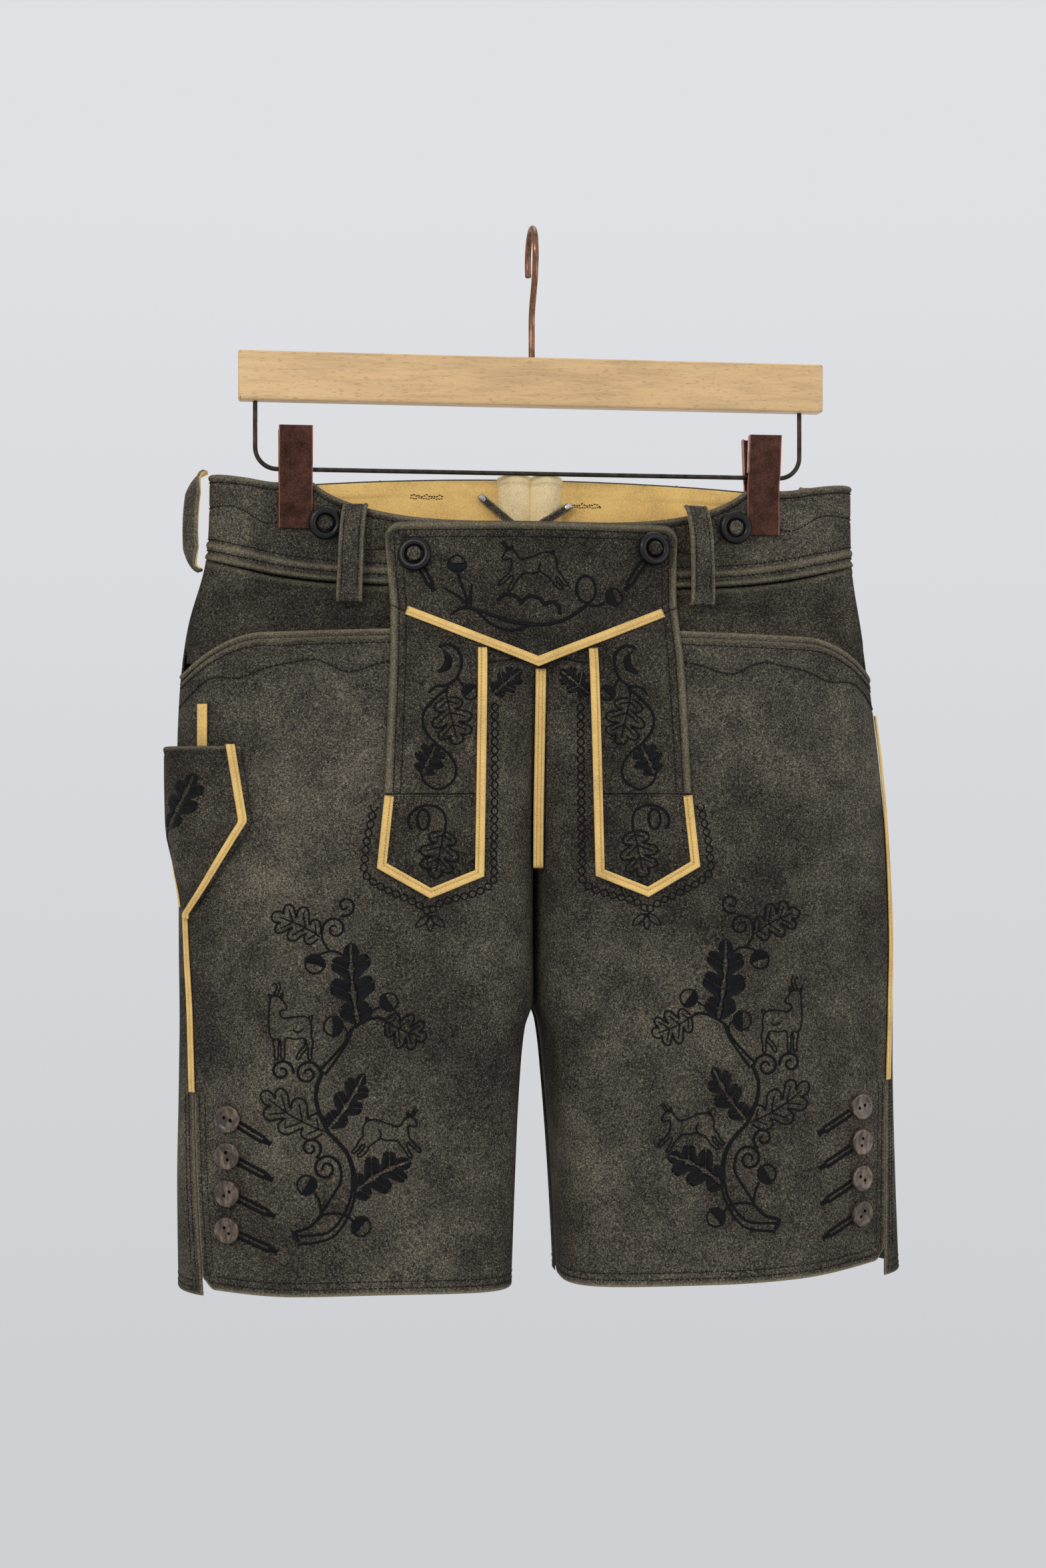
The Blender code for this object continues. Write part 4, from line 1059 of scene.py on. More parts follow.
def flap_edge_relief(edge):
    """The flap's thick rolled edge and the two sunk seams beside it."""
    seams = 0.55 * ridge(edge, FLAP_SEAMS[0], 0.9) + 0.35 * ridge(edge, FLAP_SEAMS[1], 0.8)
    return 1.05 * ridge(edge, FLAP_ROLL, 2.0) - seams


def flap_edge_wear_and_highlight(edge):
    # Pale on the crest of the rolled edge: rubbed nap and a painted highlight.
    return 0.62 * ridge(edge, FLAP_ROLL, 2.2)


def add_flap():
    """The flap: its top, the two hanging strips and their pointed tips."""
    share, down = grid(spread(191.0, 2.2, start=13.0, end=13.0) * 2.0 - 1.0,
                       spread(85.0, 2.1, start=13.0))
    half = FLAP_HALF[0][1]
    away = np.maximum(0.0, np.abs(share) * half - (half - FLAP_CORNER))
    top = FLAP_TOP - FLAP_CORNER + np.sqrt(np.maximum(0.0, FLAP_CORNER**2 - away**2))
    z = top + (v_line(share) + SEAM / 2.0 - top) * down
    points = flap_base(FLAP_X + share * flap_half(z), z)
    edges = edges_of(points)
    edge = np.minimum(np.minimum(edges["first"], edges["last"]), edges["top"])
    add_leather("flap_top_suede", points, BAND, dark_suede(), 1, lift=BAND,
                relief=flap_edge_relief(edge), wear_and_painted_light=flap_edge_wear_and_highlight(edge), nodes=["flap_top"])
    for side, word in WORDS.items():
        share, down = grid(spread(60.0, 1.9, end=13.0), spread(110.0, 2.2))
        high = v_line((V_INNER + (V_HALF - V_INNER) * share) / V_HALF) - SEAM / 2.0
        z = high + (STRIP_SEAM + SEAM / 2.0 - high) * down
        points = flap_base(strip_x(side, share, z), z)
        edge = edges_of(points)["last"]
        add_leather(f"flap_strip_{word}_suede", points, BAND, dark_suede(), side, lift=BAND,
                    relief=flap_edge_relief(edge), wear_and_painted_light=flap_edge_wear_and_highlight(edge),
                    nodes=[f"flap_strip_{word}"])
        share, down = grid(spread(64.0, 1.9), spread(58.0, 2.0))
        high = STRIP_SEAM - SEAM / 2.0
        z = high + (tip_edge(share) - high) * down
        points = flap_base(strip_x(side, share, z), z)
        add_leather(f"flap_tip_{word}_suede", points, BAND, dark_suede(), side, lift=BAND,
                    nodes=[f"flap_tip_{word}"])


# ================================================================ pipings
def piping_relief(edges, width):
    """A soft double cord: the piping's crown with a sunk seam along it."""
    across = np.minimum(edges["top"], edges["low"])
    return 0.35 * smooth(0.0, 1.6, across) - 0.42 * ridge(edges["top"], 0.36 * width, 0.55)


def add_piping(name, points, side, nodes, thickness=PIPING, width=PIPING_WIDTH):
    edges = edges_of(points)
    if points.shape[0] < points.shape[1]:
        edges = {"top": edges["first"], "low": edges["last"]}
    # The mask darkens the piping along its sunk seam: painted shade.
    add_leather(name, points, thickness, chamois(), side, lift=thickness - 0.2,
                relief=piping_relief(edges, width),
                wear_and_painted_light=0.5 * ridge(edges["top"], 0.36 * width, 0.4), slot="chamois",
                nodes=nodes)


def strip_outline(side, near):
    """The line along a strip's inner edge, round its tip and a little way up again."""
    outline = [(V_INNER + 0.1 + near, -277.5), (TIP_INNER[0] + near, TIP_INNER[1] + 1.0),
               (TIP_POINT[0], TIP_POINT[1] + near + 0.6),
               (TIP_OUTER[0] - near - 0.3, TIP_OUTER[1] + 1.6),
               (float(flap_half(STRIP_SEAM)) - near, STRIP_SEAM - 1.0)]
    return [(FLAP_X + side * x, z) for x, z in outline]


def v_outline(rise=0.0):
    """The line of the flap's V seam, raised by rise."""
    high = v_line(V_PIPED / V_HALF) + rise
    return [(FLAP_X - V_PIPED, high), (FLAP_X, V_MIDDLE + rise), (FLAP_X + V_PIPED, high)]


def add_flap_pipings():
    flat = ribbon(straight(v_outline(), 1.6), PIPING_WIDTH)
    add_piping("piping_v_chamois", on_flap(flat[..., 0], flat[..., 1], 2.0 * SEAM), -1, ["piping_v"])
    for side, word in WORDS.items():
        path = straight(strip_outline(side, PIPING_WIDTH / 2.0), 1.6)
        if side > 0:
            path = path[::-1]
        flat = ribbon(path, PIPING_WIDTH)
        add_piping(f"piping_strip_{word}_chamois", on_flap(flat[..., 0], flat[..., 1], 2.0 * SEAM),
                   -1, [f"piping_strip_{word}"])


def add_body_pipings():
    """The pipings on the centre front seam and on the side seams."""
    half = 3.4
    x, z = grid(np.linspace(-half, half, 13), np.linspace(-289.5, -418.0, 90))
    points = np.stack([x, depth(1, half + 1.0, z, True) - 1.4, z], axis=-1)
    edges = edges_of(points)
    lines = ridge(np.abs(x), 1.2, 0.45)
    # The mask darkens the two sunk seam lines: painted shade.
    add_leather("piping_centre_chamois", points, PIPING, chamois(), 1, lift=PIPING,
                relief=0.3 * smooth(0.0, 1.5, np.minimum(edges["first"], edges["last"])) - 0.4 * lines,
                wear_and_painted_light=0.45 * lines, slot="chamois", nodes=["piping_centre"])
    for side, word, top in ((-1, "left", -449.0), (1, "right", -318.0)):
        levels = top + (SLIT_TOP - top) * spread(top - SLIT_TOP, 2.0)
        offset, z = grid(spread(5.2, 0.9) * 5.2 - 2.6, levels)
        middle = side_seam(z)
        step = np.linalg.norm(body(side, middle + 0.005, z) - body(side, middle - 0.005, z), axis=-1)
        points = on_body(side, middle + offset * 0.01 / step, z, 0.8)
        add_piping(f"piping_side_{word}_chamois", points, side, [f"piping_side_{word}"], PIPING, 5.2)


# ================================================================ knife pocket
def knife_girth(share, z):
    """Girth across the pocket: share is 0 at its inner edge and 1 at its rear edge."""
    inner = girth_at(-1, linear(KNIFE_INNER, z), z)
    outer = KNIFE_OUTER + (float(side_seam(KNIFE_TIP)) + 0.02 - KNIFE_OUTER) * smooth(
        KNIFE_MIDDLE - 6.0, KNIFE_TIP, z)
    return inner + (outer - inner) * share


def knife_lift(share, z):
    """Clearance over the leg: the pocket stands open at its mouth."""
    fullness = np.sin(math.pi * np.clip(share, 0.0, 1.0)) ** 0.6
    return 1.2 + KNIFE_OPEN * fullness * smooth(-436.0, -385.0, z)


def add_knife_pocket():
    length = KNIFE_TOP - KNIFE_TIP - 4.0
    share, z = grid(spread(58.0, 2.0), KNIFE_TOP - length * spread(length, 2.0, start=10.0))
    points = on_body(-1, knife_girth(share, z), z, knife_lift(share, z))
    top = edges_of(points)["top"]
    relief = 0.45 * ridge(top, 2.0, 1.6) - 0.35 * ridge(top, 5.0, 0.8)
    add_leather("knife_pocket_suede", points, LEATHER, dark_suede(), -1, lift=LEATHER,
                relief=relief, wear_and_painted_light=0.5 * ridge(top, 0.8, 1.2), nodes=["knife_pocket"])
    levels = spread(105.0, 2.0) * (KNIFE_TIP - 4.0 - KNIFE_TOP) + KNIFE_TOP + 1.0
    edge, z = grid(spread(5.6, 0.9) * 2.0 - 1.0, levels)
    step = past_seam(-1, knife_girth(0.0, z), z, 1.0) - knife_girth(0.0, z)
    base = knife_lift(0.10, z) + LEATHER + SEAM + 0.8
    points = on_body(-1, knife_girth(0.0, z) + step * (edge * 2.8 + 3.2), z, base)
    add_piping("knife_piping_chamois", points, -1, ["knife_piping"], PIPING, 5.6)
    edge, z = grid(np.linspace(0.0, 1.0, 9), -389.0 + (KNIFE_TIP + 393.0) * spread(60.0, 1.6))
    points = on_body(-1, knife_girth(0.995, z) - 0.008 * edge, z, knife_lift(0.97, z) + LEATHER + SEAM)
    add_piping("knife_rear_chamois", points, -1, ["knife_piping"], 1.0, 2.4)
    x, z = grid(210.5 + 6.0 * spread(6.0, 1.0), -313.0 - 39.0 * spread(39.0, 1.6))
    points = on_body(-1, girth_at(-1, x, z), z, 1.0)
    add_leather("knife_strap_chamois", points, 1.6, chamois(), -1, lift=1.6,
                slot="chamois", nodes=["knife_strap"])


# ================================================================ belt loops
FOLD_LOOP = (-163.5, -224.0)     # highest and lowest point of the left side loop


def loop_rise(t):
    """How far a loop stands off the cloth, t of the way from its top to its bottom."""
    return LOOP_OUT * np.minimum(1.0, 1.05 * np.sqrt(np.sin(math.pi * np.clip(t, 0.0, 1.0))))


def add_strap(word, points, side):
    """A belt loop: its edges are seamed, and its flesh side is the chamois' yellow."""
    edges = edges_of(points)
    rim = np.minimum(edges["first"], edges["last"])
    add_leather(f"loop_{word}_suede", points, LOOP_THICK, suede(), side, lift=LOOP_THICK,
                relief=0.45 * ridge(rim, 1.5, 1.2) - 0.4 * ridge(rim, 3.2, 0.7),
                wear_and_painted_light=0.55 * ridge(rim, 0.9, 1.1), inner=chamois(), slot="suede",
                nodes=[f"loop_{word}"])


def loop_places():
    """Side, girth of the middle, highest and lowest point of each loop that is sewn flat."""
    yield "front_left", -1, float(girth_at(-1, 116.0, -184.5)), -184.5, -247.0
    yield "front_right", 1, float(girth_at(1, 105.5, -182.5)), -182.5, -247.0
    yield "back_left", -1, float(girth_at(-1, 92.0, -166.0, True)), -166.0, -226.0
    yield "back_right", 1, float(girth_at(1, 92.0, -166.0, True)), -166.0, -226.0
    yield "side_right", 1, float(girth_at(1, 194.0, -190.0, True)), -165.0, -225.0


def loop_grid(high, low):
    """Share across the strap, share of the way down it, and height."""
    edge, t = grid(spread(LOOP_WIDTH, 1.0) - 0.5, spread(high - low, 1.3))
    return edge, t, high + (low - high) * t


def add_belt_loops():
    for word, side, girth, high, low in loop_places():
        edge, t, z = loop_grid(high, low)
        step = past_seam(side, girth, z, 1.0) - girth
        points = on_body(side, girth + step * edge * LOOP_WIDTH, z, 0.9 + loop_rise(t))
        add_strap(word, points, side)
    # The left side loop lies over the fold at the end of the waist, and its strap is turned a little.
    edge, t, z = loop_grid(*FOLD_LOOP)
    turned = 9.0 * edge * np.minimum(1.0, 6.0 * t * (1.0 - t))
    rise = LOOP_OUT * np.sin(math.pi * np.clip(t, 0.0, 1.0)) ** 0.3
    points = np.stack([-(side_width(-1, z) + 1.0 + rise + turned), edge * LOOP_WIDTH, z], axis=-1)
    add_strap("side_left", points, -1)


# ================================================================ hard pieces
def fresh():
    """Object mode with nothing selected, and new objects going into the garment's collection."""
    if bpy.context.mode != "OBJECT":
        bpy.ops.object.mode_set(mode="OBJECT")
    bpy.ops.object.select_all(action="DESELECT")
    layers = bpy.context.view_layer.layer_collection.children
    bpy.context.view_layer.active_layer_collection = layers[collection().name]


def start(name, material):
    """Names the primitive that was just added, gives it its material and opens it for editing."""
    piece = bpy.context.object
    piece.name = piece.data.name = name
    piece.data.materials.append(material)
    bpy.ops.object.mode_set(mode="EDIT")
    return piece


def pick(piece, kind, test):
    """In edit mode, selects only the faces, edges or points that pass the test."""
    bpy.ops.mesh.select_mode(type=kind)
    bpy.ops.mesh.select_all(action="DESELECT")
    cage = bmesh.from_edit_mesh(piece.data)
    for item in {"VERT": cage.verts, "EDGE": cage.edges, "FACE": cage.faces}[kind]:
        item.select_set(bool(test(item)))
    cage.select_flush_mode()
    bmesh.update_edit_mesh(piece.data)


def cut_across(point, normal):
    """A row of edges round the whole piece where a plane crosses it."""
    bpy.ops.mesh.select_all(action="SELECT")
    bpy.ops.mesh.bisect(plane_co=[value * MM for value in point], plane_no=normal)


def shift(x, y, z):
    bpy.ops.transform.translate(value=(x * MM, y * MM, z * MM))


def block(name, material, size, middle):
    """A box of that size round its middle, open for editing."""
    fresh()
    bpy.ops.mesh.primitive_cube_add(size=MM)
    piece = start(name, material)
    bpy.ops.transform.resize(value=size)
    shift(*middle)
    return piece


def refine(piece, kind, **settings):
    """Adds a modifier and applies it."""
    bpy.ops.object.mode_set(mode="OBJECT")
    modifier = piece.modifiers.new(kind.title(), kind)
    for key, value in settings.items():
        setattr(modifier, key, value)
    bpy.context.view_layer.objects.active = piece
    bpy.ops.object.modifier_apply(modifier=modifier.name)


def settle(piece, angle=40.0):
    """Closes editing, puts the piece's place in its mesh and shades it."""
    fresh()
    piece.select_set(True)
    bpy.context.view_layer.objects.active = piece
    bpy.ops.object.transform_apply(location=True, rotation=True, scale=True)
    bpy.ops.object.shade_smooth_by_angle(angle=math.radians(angle))
    return piece


def copy_to(model, name, place):
    """A copy with a mesh of its own, whose place is in its mesh."""
    fresh()
    model.select_set(True)
    bpy.context.view_layer.objects.active = model
    bpy.ops.object.duplicate()
    made = bpy.context.object
    made.name = made.data.name = name
    made.matrix_world = place
    bpy.ops.object.transform_apply(location=True, rotation=True, scale=True)
    return made


def remove(*models):
    for model in models:
        bpy.data.objects.remove(model)


def facing(point, normal, turn=0.0):
    """Places a button: its own +Z along normal, turned about it by degrees."""
    stand = Vector(normal).to_track_quat("Z", "Y").to_matrix().to_4x4()
    return Matrix.Translation(Vector(point) * MM) @ stand @ Matrix.Rotation(math.radians(turn), 4, "Z")


def radius_of(item):
    """Distance of a point's, edge's or face's middle from the Z axis, in millimetres."""
    if isinstance(item, bmesh.types.BMVert):
        spot = item.co
    elif isinstance(item, bmesh.types.BMEdge):
        spot = (item.verts[0].co + item.verts[1].co) / 2.0
    else:
        spot = item.calc_center_median()
    return math.hypot(spot.x, spot.y) / MM


# ---------------------------------------------------------------- hard finishes
def make_horn(name):
    """Polished black horn, faintly clouded."""
    black = chosen("hardware", "horn")
    finish = Finish(name, 0.3, specular_ior_level=0.3)
    streaks = finish.noise(90.0, 3.0, 0.6, finish.stretched((1.0, 1.0, 4.0)))
    finish.colour(finish.ramp(streaks, (0.35, black), (0.8, tinted(black, 2.0))))
    finish.bump(finish.noise(420.0, 2.0, 0.5), 0.0001, 0.25)
    return finish.material


def make_staghorn(name):
    """Brown and grey mottled horn with pale streaks, dark in its pores."""
    finish = Finish(name, 0.27, coat_weight=0.35, coat_roughness=0.15)
    place = finish.stretched((1.0, 1.0, 0.45))
    mottle = finish.noise(170.0, 5.0, 0.62, place, 1.4)
    pores = finish.ramp(finish.cells(1500.0, place), (0.12, 0.25), (0.34, 1.0))
    dark, pale = chosen("hardware", "staghorn_dark"), chosen("hardware", "staghorn_pale")
    brown = finish.ramp(mottle, (0.33, tinted(dark, 0.4)), (0.45, dark), (0.56, pale),
                        (0.68, tinted(pale, 1.7)))
    finish.colour(finish.mix(1.0, brown, pores, "MULTIPLY"))
    finish.bump(finish.blend((mottle, 0.7), (pores, 0.3)), 0.0004, 0.5)
    return finish.material


def make_beech(name):
    """Sanded beech: pale, with short dark flecks along the grain."""
    beech = chosen("hardware", "beech")
    finish = Finish(name, 0.5, coat_weight=0.12, coat_roughness=0.35)
    grain = finish.noise(300.0, 4.0, 0.6, finish.stretched((0.10, 1.0, 1.0)), 0.6)
    flecks = finish.noise(1150.0, 1.0, 0.5, finish.stretched((0.17, 1.0, 1.0)))
    broad = finish.noise(26.0, 2.0, 0.5, finish.stretched((0.35, 1.0, 1.0)))
    wood = finish.ramp(finish.blend((grain, 0.6), (broad, 0.4)), (0.36, tinted(beech, 0.80)),
                       (0.52, beech), (0.68, tinted(beech, 1.12)))
    dark = finish.ramp(flecks, (0.60, 0.0), (0.70, 0.55))
    finish.colour(finish.mix(dark, wood, tinted(beech, 0.48)))
    finish.bump(finish.maths("SUBTRACT", grain, dark), 0.0002, 0.35)
    return finish.material


def make_metal(name, colour, roughness, dull):
    """Metal wire: drawn lines, with a dull bloom over part of it."""
    finish = Finish(name, roughness, 1.0)
    drawn = finish.noise(900.0, 3.0, 0.6, finish.stretched((1.0, 1.0, 0.08)))
    bloom = finish.noise(120.0, 4.0, 0.6)
    finish.colour(finish.ramp(finish.blend((drawn, 0.45), (bloom, 0.55)), (0.38, tinted(colour, dull)),
                              (0.55, colour), (0.72, tinted(colour, 1.5))))
    finish.join(finish.ramp(bloom, (0.4, roughness * 1.6), (0.6, roughness * 0.8)),
                finish.shader.inputs["Roughness"])
    return finish.material


def make_old_copper(name):
    """Antiqued copper plate: speckled brown, scratched, and rubbed bright along its long edges."""
    finish = Finish(name, 0.42, 0.85)
    copper = chosen("hardware", "old_copper")
    speckle = finish.noise(1300.0, 2.0, 0.7)
    cloud = finish.noise(110.0, 4.0, 0.6)
    scratch = finish.noise(900.0, 1.0, 0.5, finish.stretched((1.0, 1.0, 0.03)))
    plain = finish.ramp(finish.blend((speckle, 0.55), (cloud, 0.45)), (0.36, tinted(copper, 0.30)),
                        (0.50, copper), (0.66, tinted(copper, 2.3)))
    across = finish.add("ShaderNodeSeparateXYZ", {"Vector": finish.place}).outputs[0]
    from_centre = finish.maths("ABSOLUTE", across, 0.0)
    from_middle = finish.maths("ABSOLUTE", finish.maths("SUBTRACT", from_centre, CLIP_X * MM), 0.0)
    half = CLIP_WIDTH / 2.0 * MM
    edge = finish.ramp(finish.maths("DIVIDE", from_middle, half), (0.915, 0.0), (0.965, 1.0))
    wear = finish.maths("MULTIPLY", edge, finish.ramp(scratch, (0.3, 0.35), (0.6, 1.0)))
    finish.colour(finish.mix(wear, plain, tinted(copper, 5.5)))
    finish.join(finish.ramp(cloud, (0.4, 0.5), (0.6, 0.3)), finish.shader.inputs["Roughness"])
    finish.bump(speckle, 0.0001, 0.4)
    return finish.material


def horn():
    return known("horn", make_horn)


def staghorn():
    return known("staghorn", make_staghorn)


def steel():
    return known("steel", lambda name: make_metal(name, (0.55, 0.54, 0.52), 0.3, 0.6))


# ---------------------------------------------------------------- buttons
def model_ring():
    """A turned ring with a fine step round its hole."""
    fresh()
    bpy.ops.mesh.primitive_torus_add(major_segments=64, minor_segments=24,
                                     major_radius=RING_RADIUS * MM, minor_radius=RING_WIRE * MM)
    piece = start("ring_model", horn())
    pick(piece, "FACE", lambda face: radius_of(face) < RING_RADIUS - 1.7
         and face.calc_center_median().z > 0.9 * MM)
    bpy.ops.mesh.inset(thickness=0.22 * MM, depth=-0.3 * MM)
    pick(piece, "VERT", lambda vert: vert.co.z < -0.2 * MM)
    bpy.ops.transform.resize(value=(1.0, 1.0, 0.82), center_override=(0.0, 0.0, 0.0))
    return settle(piece, 60.0)


def model_knot():
    """A rolled leather knob: its top is puckered, and its foot is narrow."""
    length = KNOT_LENGTH - 0.4
    fresh()
    bpy.ops.mesh.primitive_cylinder_add(vertices=20, radius=KNOT_RADIUS * MM, depth=length * MM)
    piece = start("knot_model", suede())
    top = length / 2.0 * MM
    pick(piece, "FACE", lambda face: face.calc_center_median().z > 0.9 * top)
    bpy.ops.mesh.inset(thickness=0.9 * MM, depth=0.35 * MM)
    bpy.ops.mesh.inset(thickness=1.3 * MM, depth=0.25 * MM)
    bpy.ops.mesh.inset(thickness=1.2 * MM, depth=-0.55 * MM)
    pick(piece, "VERT", lambda vert: vert.co.z < -0.9 * top)
    bpy.ops.transform.resize(value=(0.8, 0.8, 1.0), center_override=(0.0, 0.0, 0.0))
    refine(piece, "SUBSURF", levels=2, render_levels=2)
    lumps = bpy.data.textures.new("knot_lumps", "CLOUDS")
    lumps.noise_scale = 2.2 * MM
    refine(piece, "DISPLACE", texture=lumps, strength=0.9 * MM, mid_level=0.5)
    return settle(piece, 80.0)


def button_seats():
    """Name, seat and outward direction of each ring button."""
    for word, (x, z) in FLAP_BUTTONS.items():
        seat = on_flap(x, z, SEAM)
        yield word, seat, on_flap(x, z, SEAM + 1.0) - seat
    for word, (x, z) in BRACE_BUTTONS.items():
        side = -1 if x < 0 else 1
        back = word.startswith("back")
        way = np.array([0.0, 1.0 if back else -1.0, 0.0])
        seat = body(side, float(girth_at(side, abs(x), z, back)), z)
        yield word, seat + way * (0.6 if back else 2.4), way


def add_ring_buttons():
    ring, knot = model_ring(), model_knot()
    for word, seat, way in button_seats():
        made = copy_to(ring, f"ring_{word}_horn", facing(seat + way * (KNOT_LENGTH - RING_WIRE - 0.6), way))
        finished(made, "black_horn", f"ring_{word}")
        middle = 0.4 + (KNOT_LENGTH - 0.4) / 2.0
        made = copy_to(knot, f"knot_{word}_suede", facing(seat + way * middle, way, 37.0 * len(word)))
        finished(made, "suede", f"knot_{word}")
    remove(ring, knot)


def model_hem_button():
    """A disc with a rounded rim, a shallow dish and two holes."""
    fresh()
    bpy.ops.mesh.primitive_cylinder_add(vertices=48, radius=HEM_BUTTON_RADIUS * MM,
                                        depth=HEM_BUTTON_THICK * MM)
    piece = start("hem_button_model", staghorn())
    top = HEM_BUTTON_THICK / 2.0 * MM
    pick(piece, "EDGE", lambda edge: radius_of(edge) > HEM_BUTTON_RADIUS - 0.3
         and edge.verts[0].co.z * edge.verts[1].co.z > 0.0)
    bpy.ops.mesh.bevel(offset=0.75 * MM, segments=4, profile=0.5, affect="EDGES")
    pick(piece, "FACE", lambda face: face.normal.z > 0.99)
    bpy.ops.mesh.inset(thickness=0.9 * MM)
    bpy.ops.mesh.inset(thickness=1.1 * MM, depth=-0.5 * MM)
    bpy.ops.mesh.inset(thickness=1.2 * MM, depth=-0.12 * MM)
    bpy.ops.object.mode_set(mode="OBJECT")
    for way in (-1.0, 1.0):
        fresh()
        bpy.ops.mesh.primitive_cylinder_add(vertices=20, radius=1.15 * MM, depth=4.0 * top,
                                            location=(way * HOLE_APART / 2.0 * MM, 0.0, 0.0))
        drill = bpy.context.object
        refine(piece, "BOOLEAN", object=drill, operation="DIFFERENCE")
        remove(drill)
    return settle(piece, 35.0)


def model_button_thread():
    """The thread that holds a hem button: a bundle from hole to hole."""
    fresh()
    bpy.ops.mesh.primitive_cylinder_add(vertices=12, radius=0.85 * MM, depth=(HOLE_APART + 0.8) * MM,
                                        rotation=(0.0, math.pi / 2.0, 0.0))
    piece = start("button_thread_model", thread())
    for share in (-0.3, 0.0, 0.3):
        cut_across((0.0, 0.0, share * HOLE_APART), (0.0, 0.0, 1.0))
    pick(piece, "VERT", lambda vert: abs(vert.co.z) > 0.4 * HOLE_APART * MM)
    bpy.ops.transform.translate(value=(0.0, 0.0, -0.9 * MM))
    pick(piece, "VERT", lambda vert: abs(vert.co.z) < 0.05 * HOLE_APART * MM)
    bpy.ops.transform.translate(value=(0.0, 0.0, 0.25 * MM))
    refine(piece, "SUBSURF", levels=1, render_levels=1)
    return settle(piece, 80.0)


def add_hem_buttons():
    button, bundle = model_hem_button(), model_button_thread()
    turns = (20.0, 75.0, -35.0, 50.0)
    for side, word in WORDS.items():
        for i, (z, turn) in enumerate(zip(HEM_BUTTON_LEVELS, turns), start=1):
            girth = float(girth_at(side, abs(HEM_BUTTON_X[side]), z))
            low = on_body(side, girth, z, 1.3)
            way = on_body(side, girth, z, 2.3) - low
            lean = way + np.array([0.04 * side * (i - 2), 0.0, 0.05 * (2.5 - i)])
            lean /= np.linalg.norm(lean)
            place = facing(low + way * HEM_BUTTON_THICK / 2.0, lean, turn * side)
            finished(copy_to(button, f"hem_button_{word}_{i}_horn", place), "stag_horn",
                     f"hem_button_{word}_{i}")
            place = facing(low + way * (HEM_BUTTON_THICK - 0.9), lean, turn * side)
            finished(copy_to(bundle, f"hem_button_{word}_{i}_thread", place), "dark_suede")
    remove(button, bundle)


# ---------------------------------------------------------------- hanger
def add_bar():
    """The wooden bar, its long edges eased and its ends chamfered."""
    piece = block("hanger_bar_wood", known("beech", make_beech), (BAR_LENGTH, BAR_THICK, BAR_HEIGHT),
                  BAR_MIDDLE)
    ends = BAR_LENGTH / 2.0 - 0.5
    pick(piece, "EDGE", lambda edge: all(abs(vert.co.x / MM - BAR_MIDDLE[0]) > ends for vert in edge.verts))
    bpy.ops.mesh.bevel(offset=1.7 * MM, segments=3, affect="EDGES")
    pick(piece, "EDGE", lambda edge: abs(edge.verts[0].co.x - edge.verts[1].co.x) > 100.0 * MM)
    bpy.ops.mesh.bevel(offset=1.1 * MM, segments=3, affect="EDGES")
    finished(settle(piece, 30.0), "beech", "hanger_bar")


def add_wire(name, points, diameter, material, slot, node):
    """Round wire along points (mm), its ends rounded over."""
    fresh()
    bpy.ops.curve.primitive_nurbs_path_add()
    piece = bpy.context.object
    piece.name = piece.data.name = name
    piece.data.splines.clear()
    spline = piece.data.splines.new("POLY")
    spline.points.add(len(points) - 1)
    for mark, point in zip(spline.points, points):
        mark.co = (*(value * MM for value in point), 1.0)
    piece.data.bevel_depth = diameter / 2.0 * MM
    piece.data.bevel_resolution = 6
    piece.data.use_fill_caps = True
    piece.data.materials.append(material)
    bpy.ops.object.convert(target="MESH")
    bpy.ops.object.mode_set(mode="EDIT")
    bpy.ops.mesh.select_all(action="SELECT")
    bpy.ops.mesh.remove_doubles(threshold=0.001 * MM)
    bpy.ops.mesh.normals_make_consistent(inside=False)
    pick(piece, "FACE", lambda face: len(face.verts) > 4)
    bpy.ops.mesh.inset(thickness=0.3 * diameter * MM, depth=0.12 * diameter * MM)
    return finished(settle(piece, 60.0), slot, node)


def add_hook():
    """The hook's wire: up from the bar, forward, over the rail and down behind it."""
    radius = HOOK_INNER + HOOK_WIRE / 2.0
    foot = BAR_MIDDLE[2] + BAR_HEIGHT / 2.0 + SEAM
    route = [(0.0, foot), (0.0, -70.0), (0.0, -60.0), (-1.6, -53.0), (-5.6, -46.5),
             (-10.8, -40.0), (-15.2, -32.5)]
    for degrees in range(200, -36, -15):
        turn = math.radians(degrees)
        route.append((radius * math.cos(turn), -HOOK_INNER + radius * math.sin(turn)))
    points = [(0.0, y, z) for y, z in curve(route, 2.0)]
    copper = known("copper", lambda name: make_metal(name, chosen("hardware", "copper"), 0.3, 0.45))
    add_wire("hanger_hook_copper", points, HOOK_WIRE, copper, "copper", "hanger_hook")


def add_frame():
    """The wire below the bar: down, along under it, and up again."""
    top = BAR_MIDDLE[2] - BAR_HEIGHT / 2.0 - SEAM
    points = [(-FRAME_HALF, 0.0, top)]
    for degrees in np.linspace(180.0, 270.0, 13):
        turn = math.radians(degrees)
        points.append((-FRAME_HALF + FRAME_CORNER * (1.0 + math.cos(turn)), 0.0,
                       FRAME_LEVEL + FRAME_CORNER * (1.0 + math.sin(turn))))
    points += [(-x, y, z) for x, y, z in reversed(points)]
    bronze = known("bronze", lambda name: make_metal(name, chosen("hardware", "bronze"), 0.34, 0.5))
    add_wire("hanger_frame_bronze", points, FRAME_WIRE, bronze, "bronze", "hanger_wire")


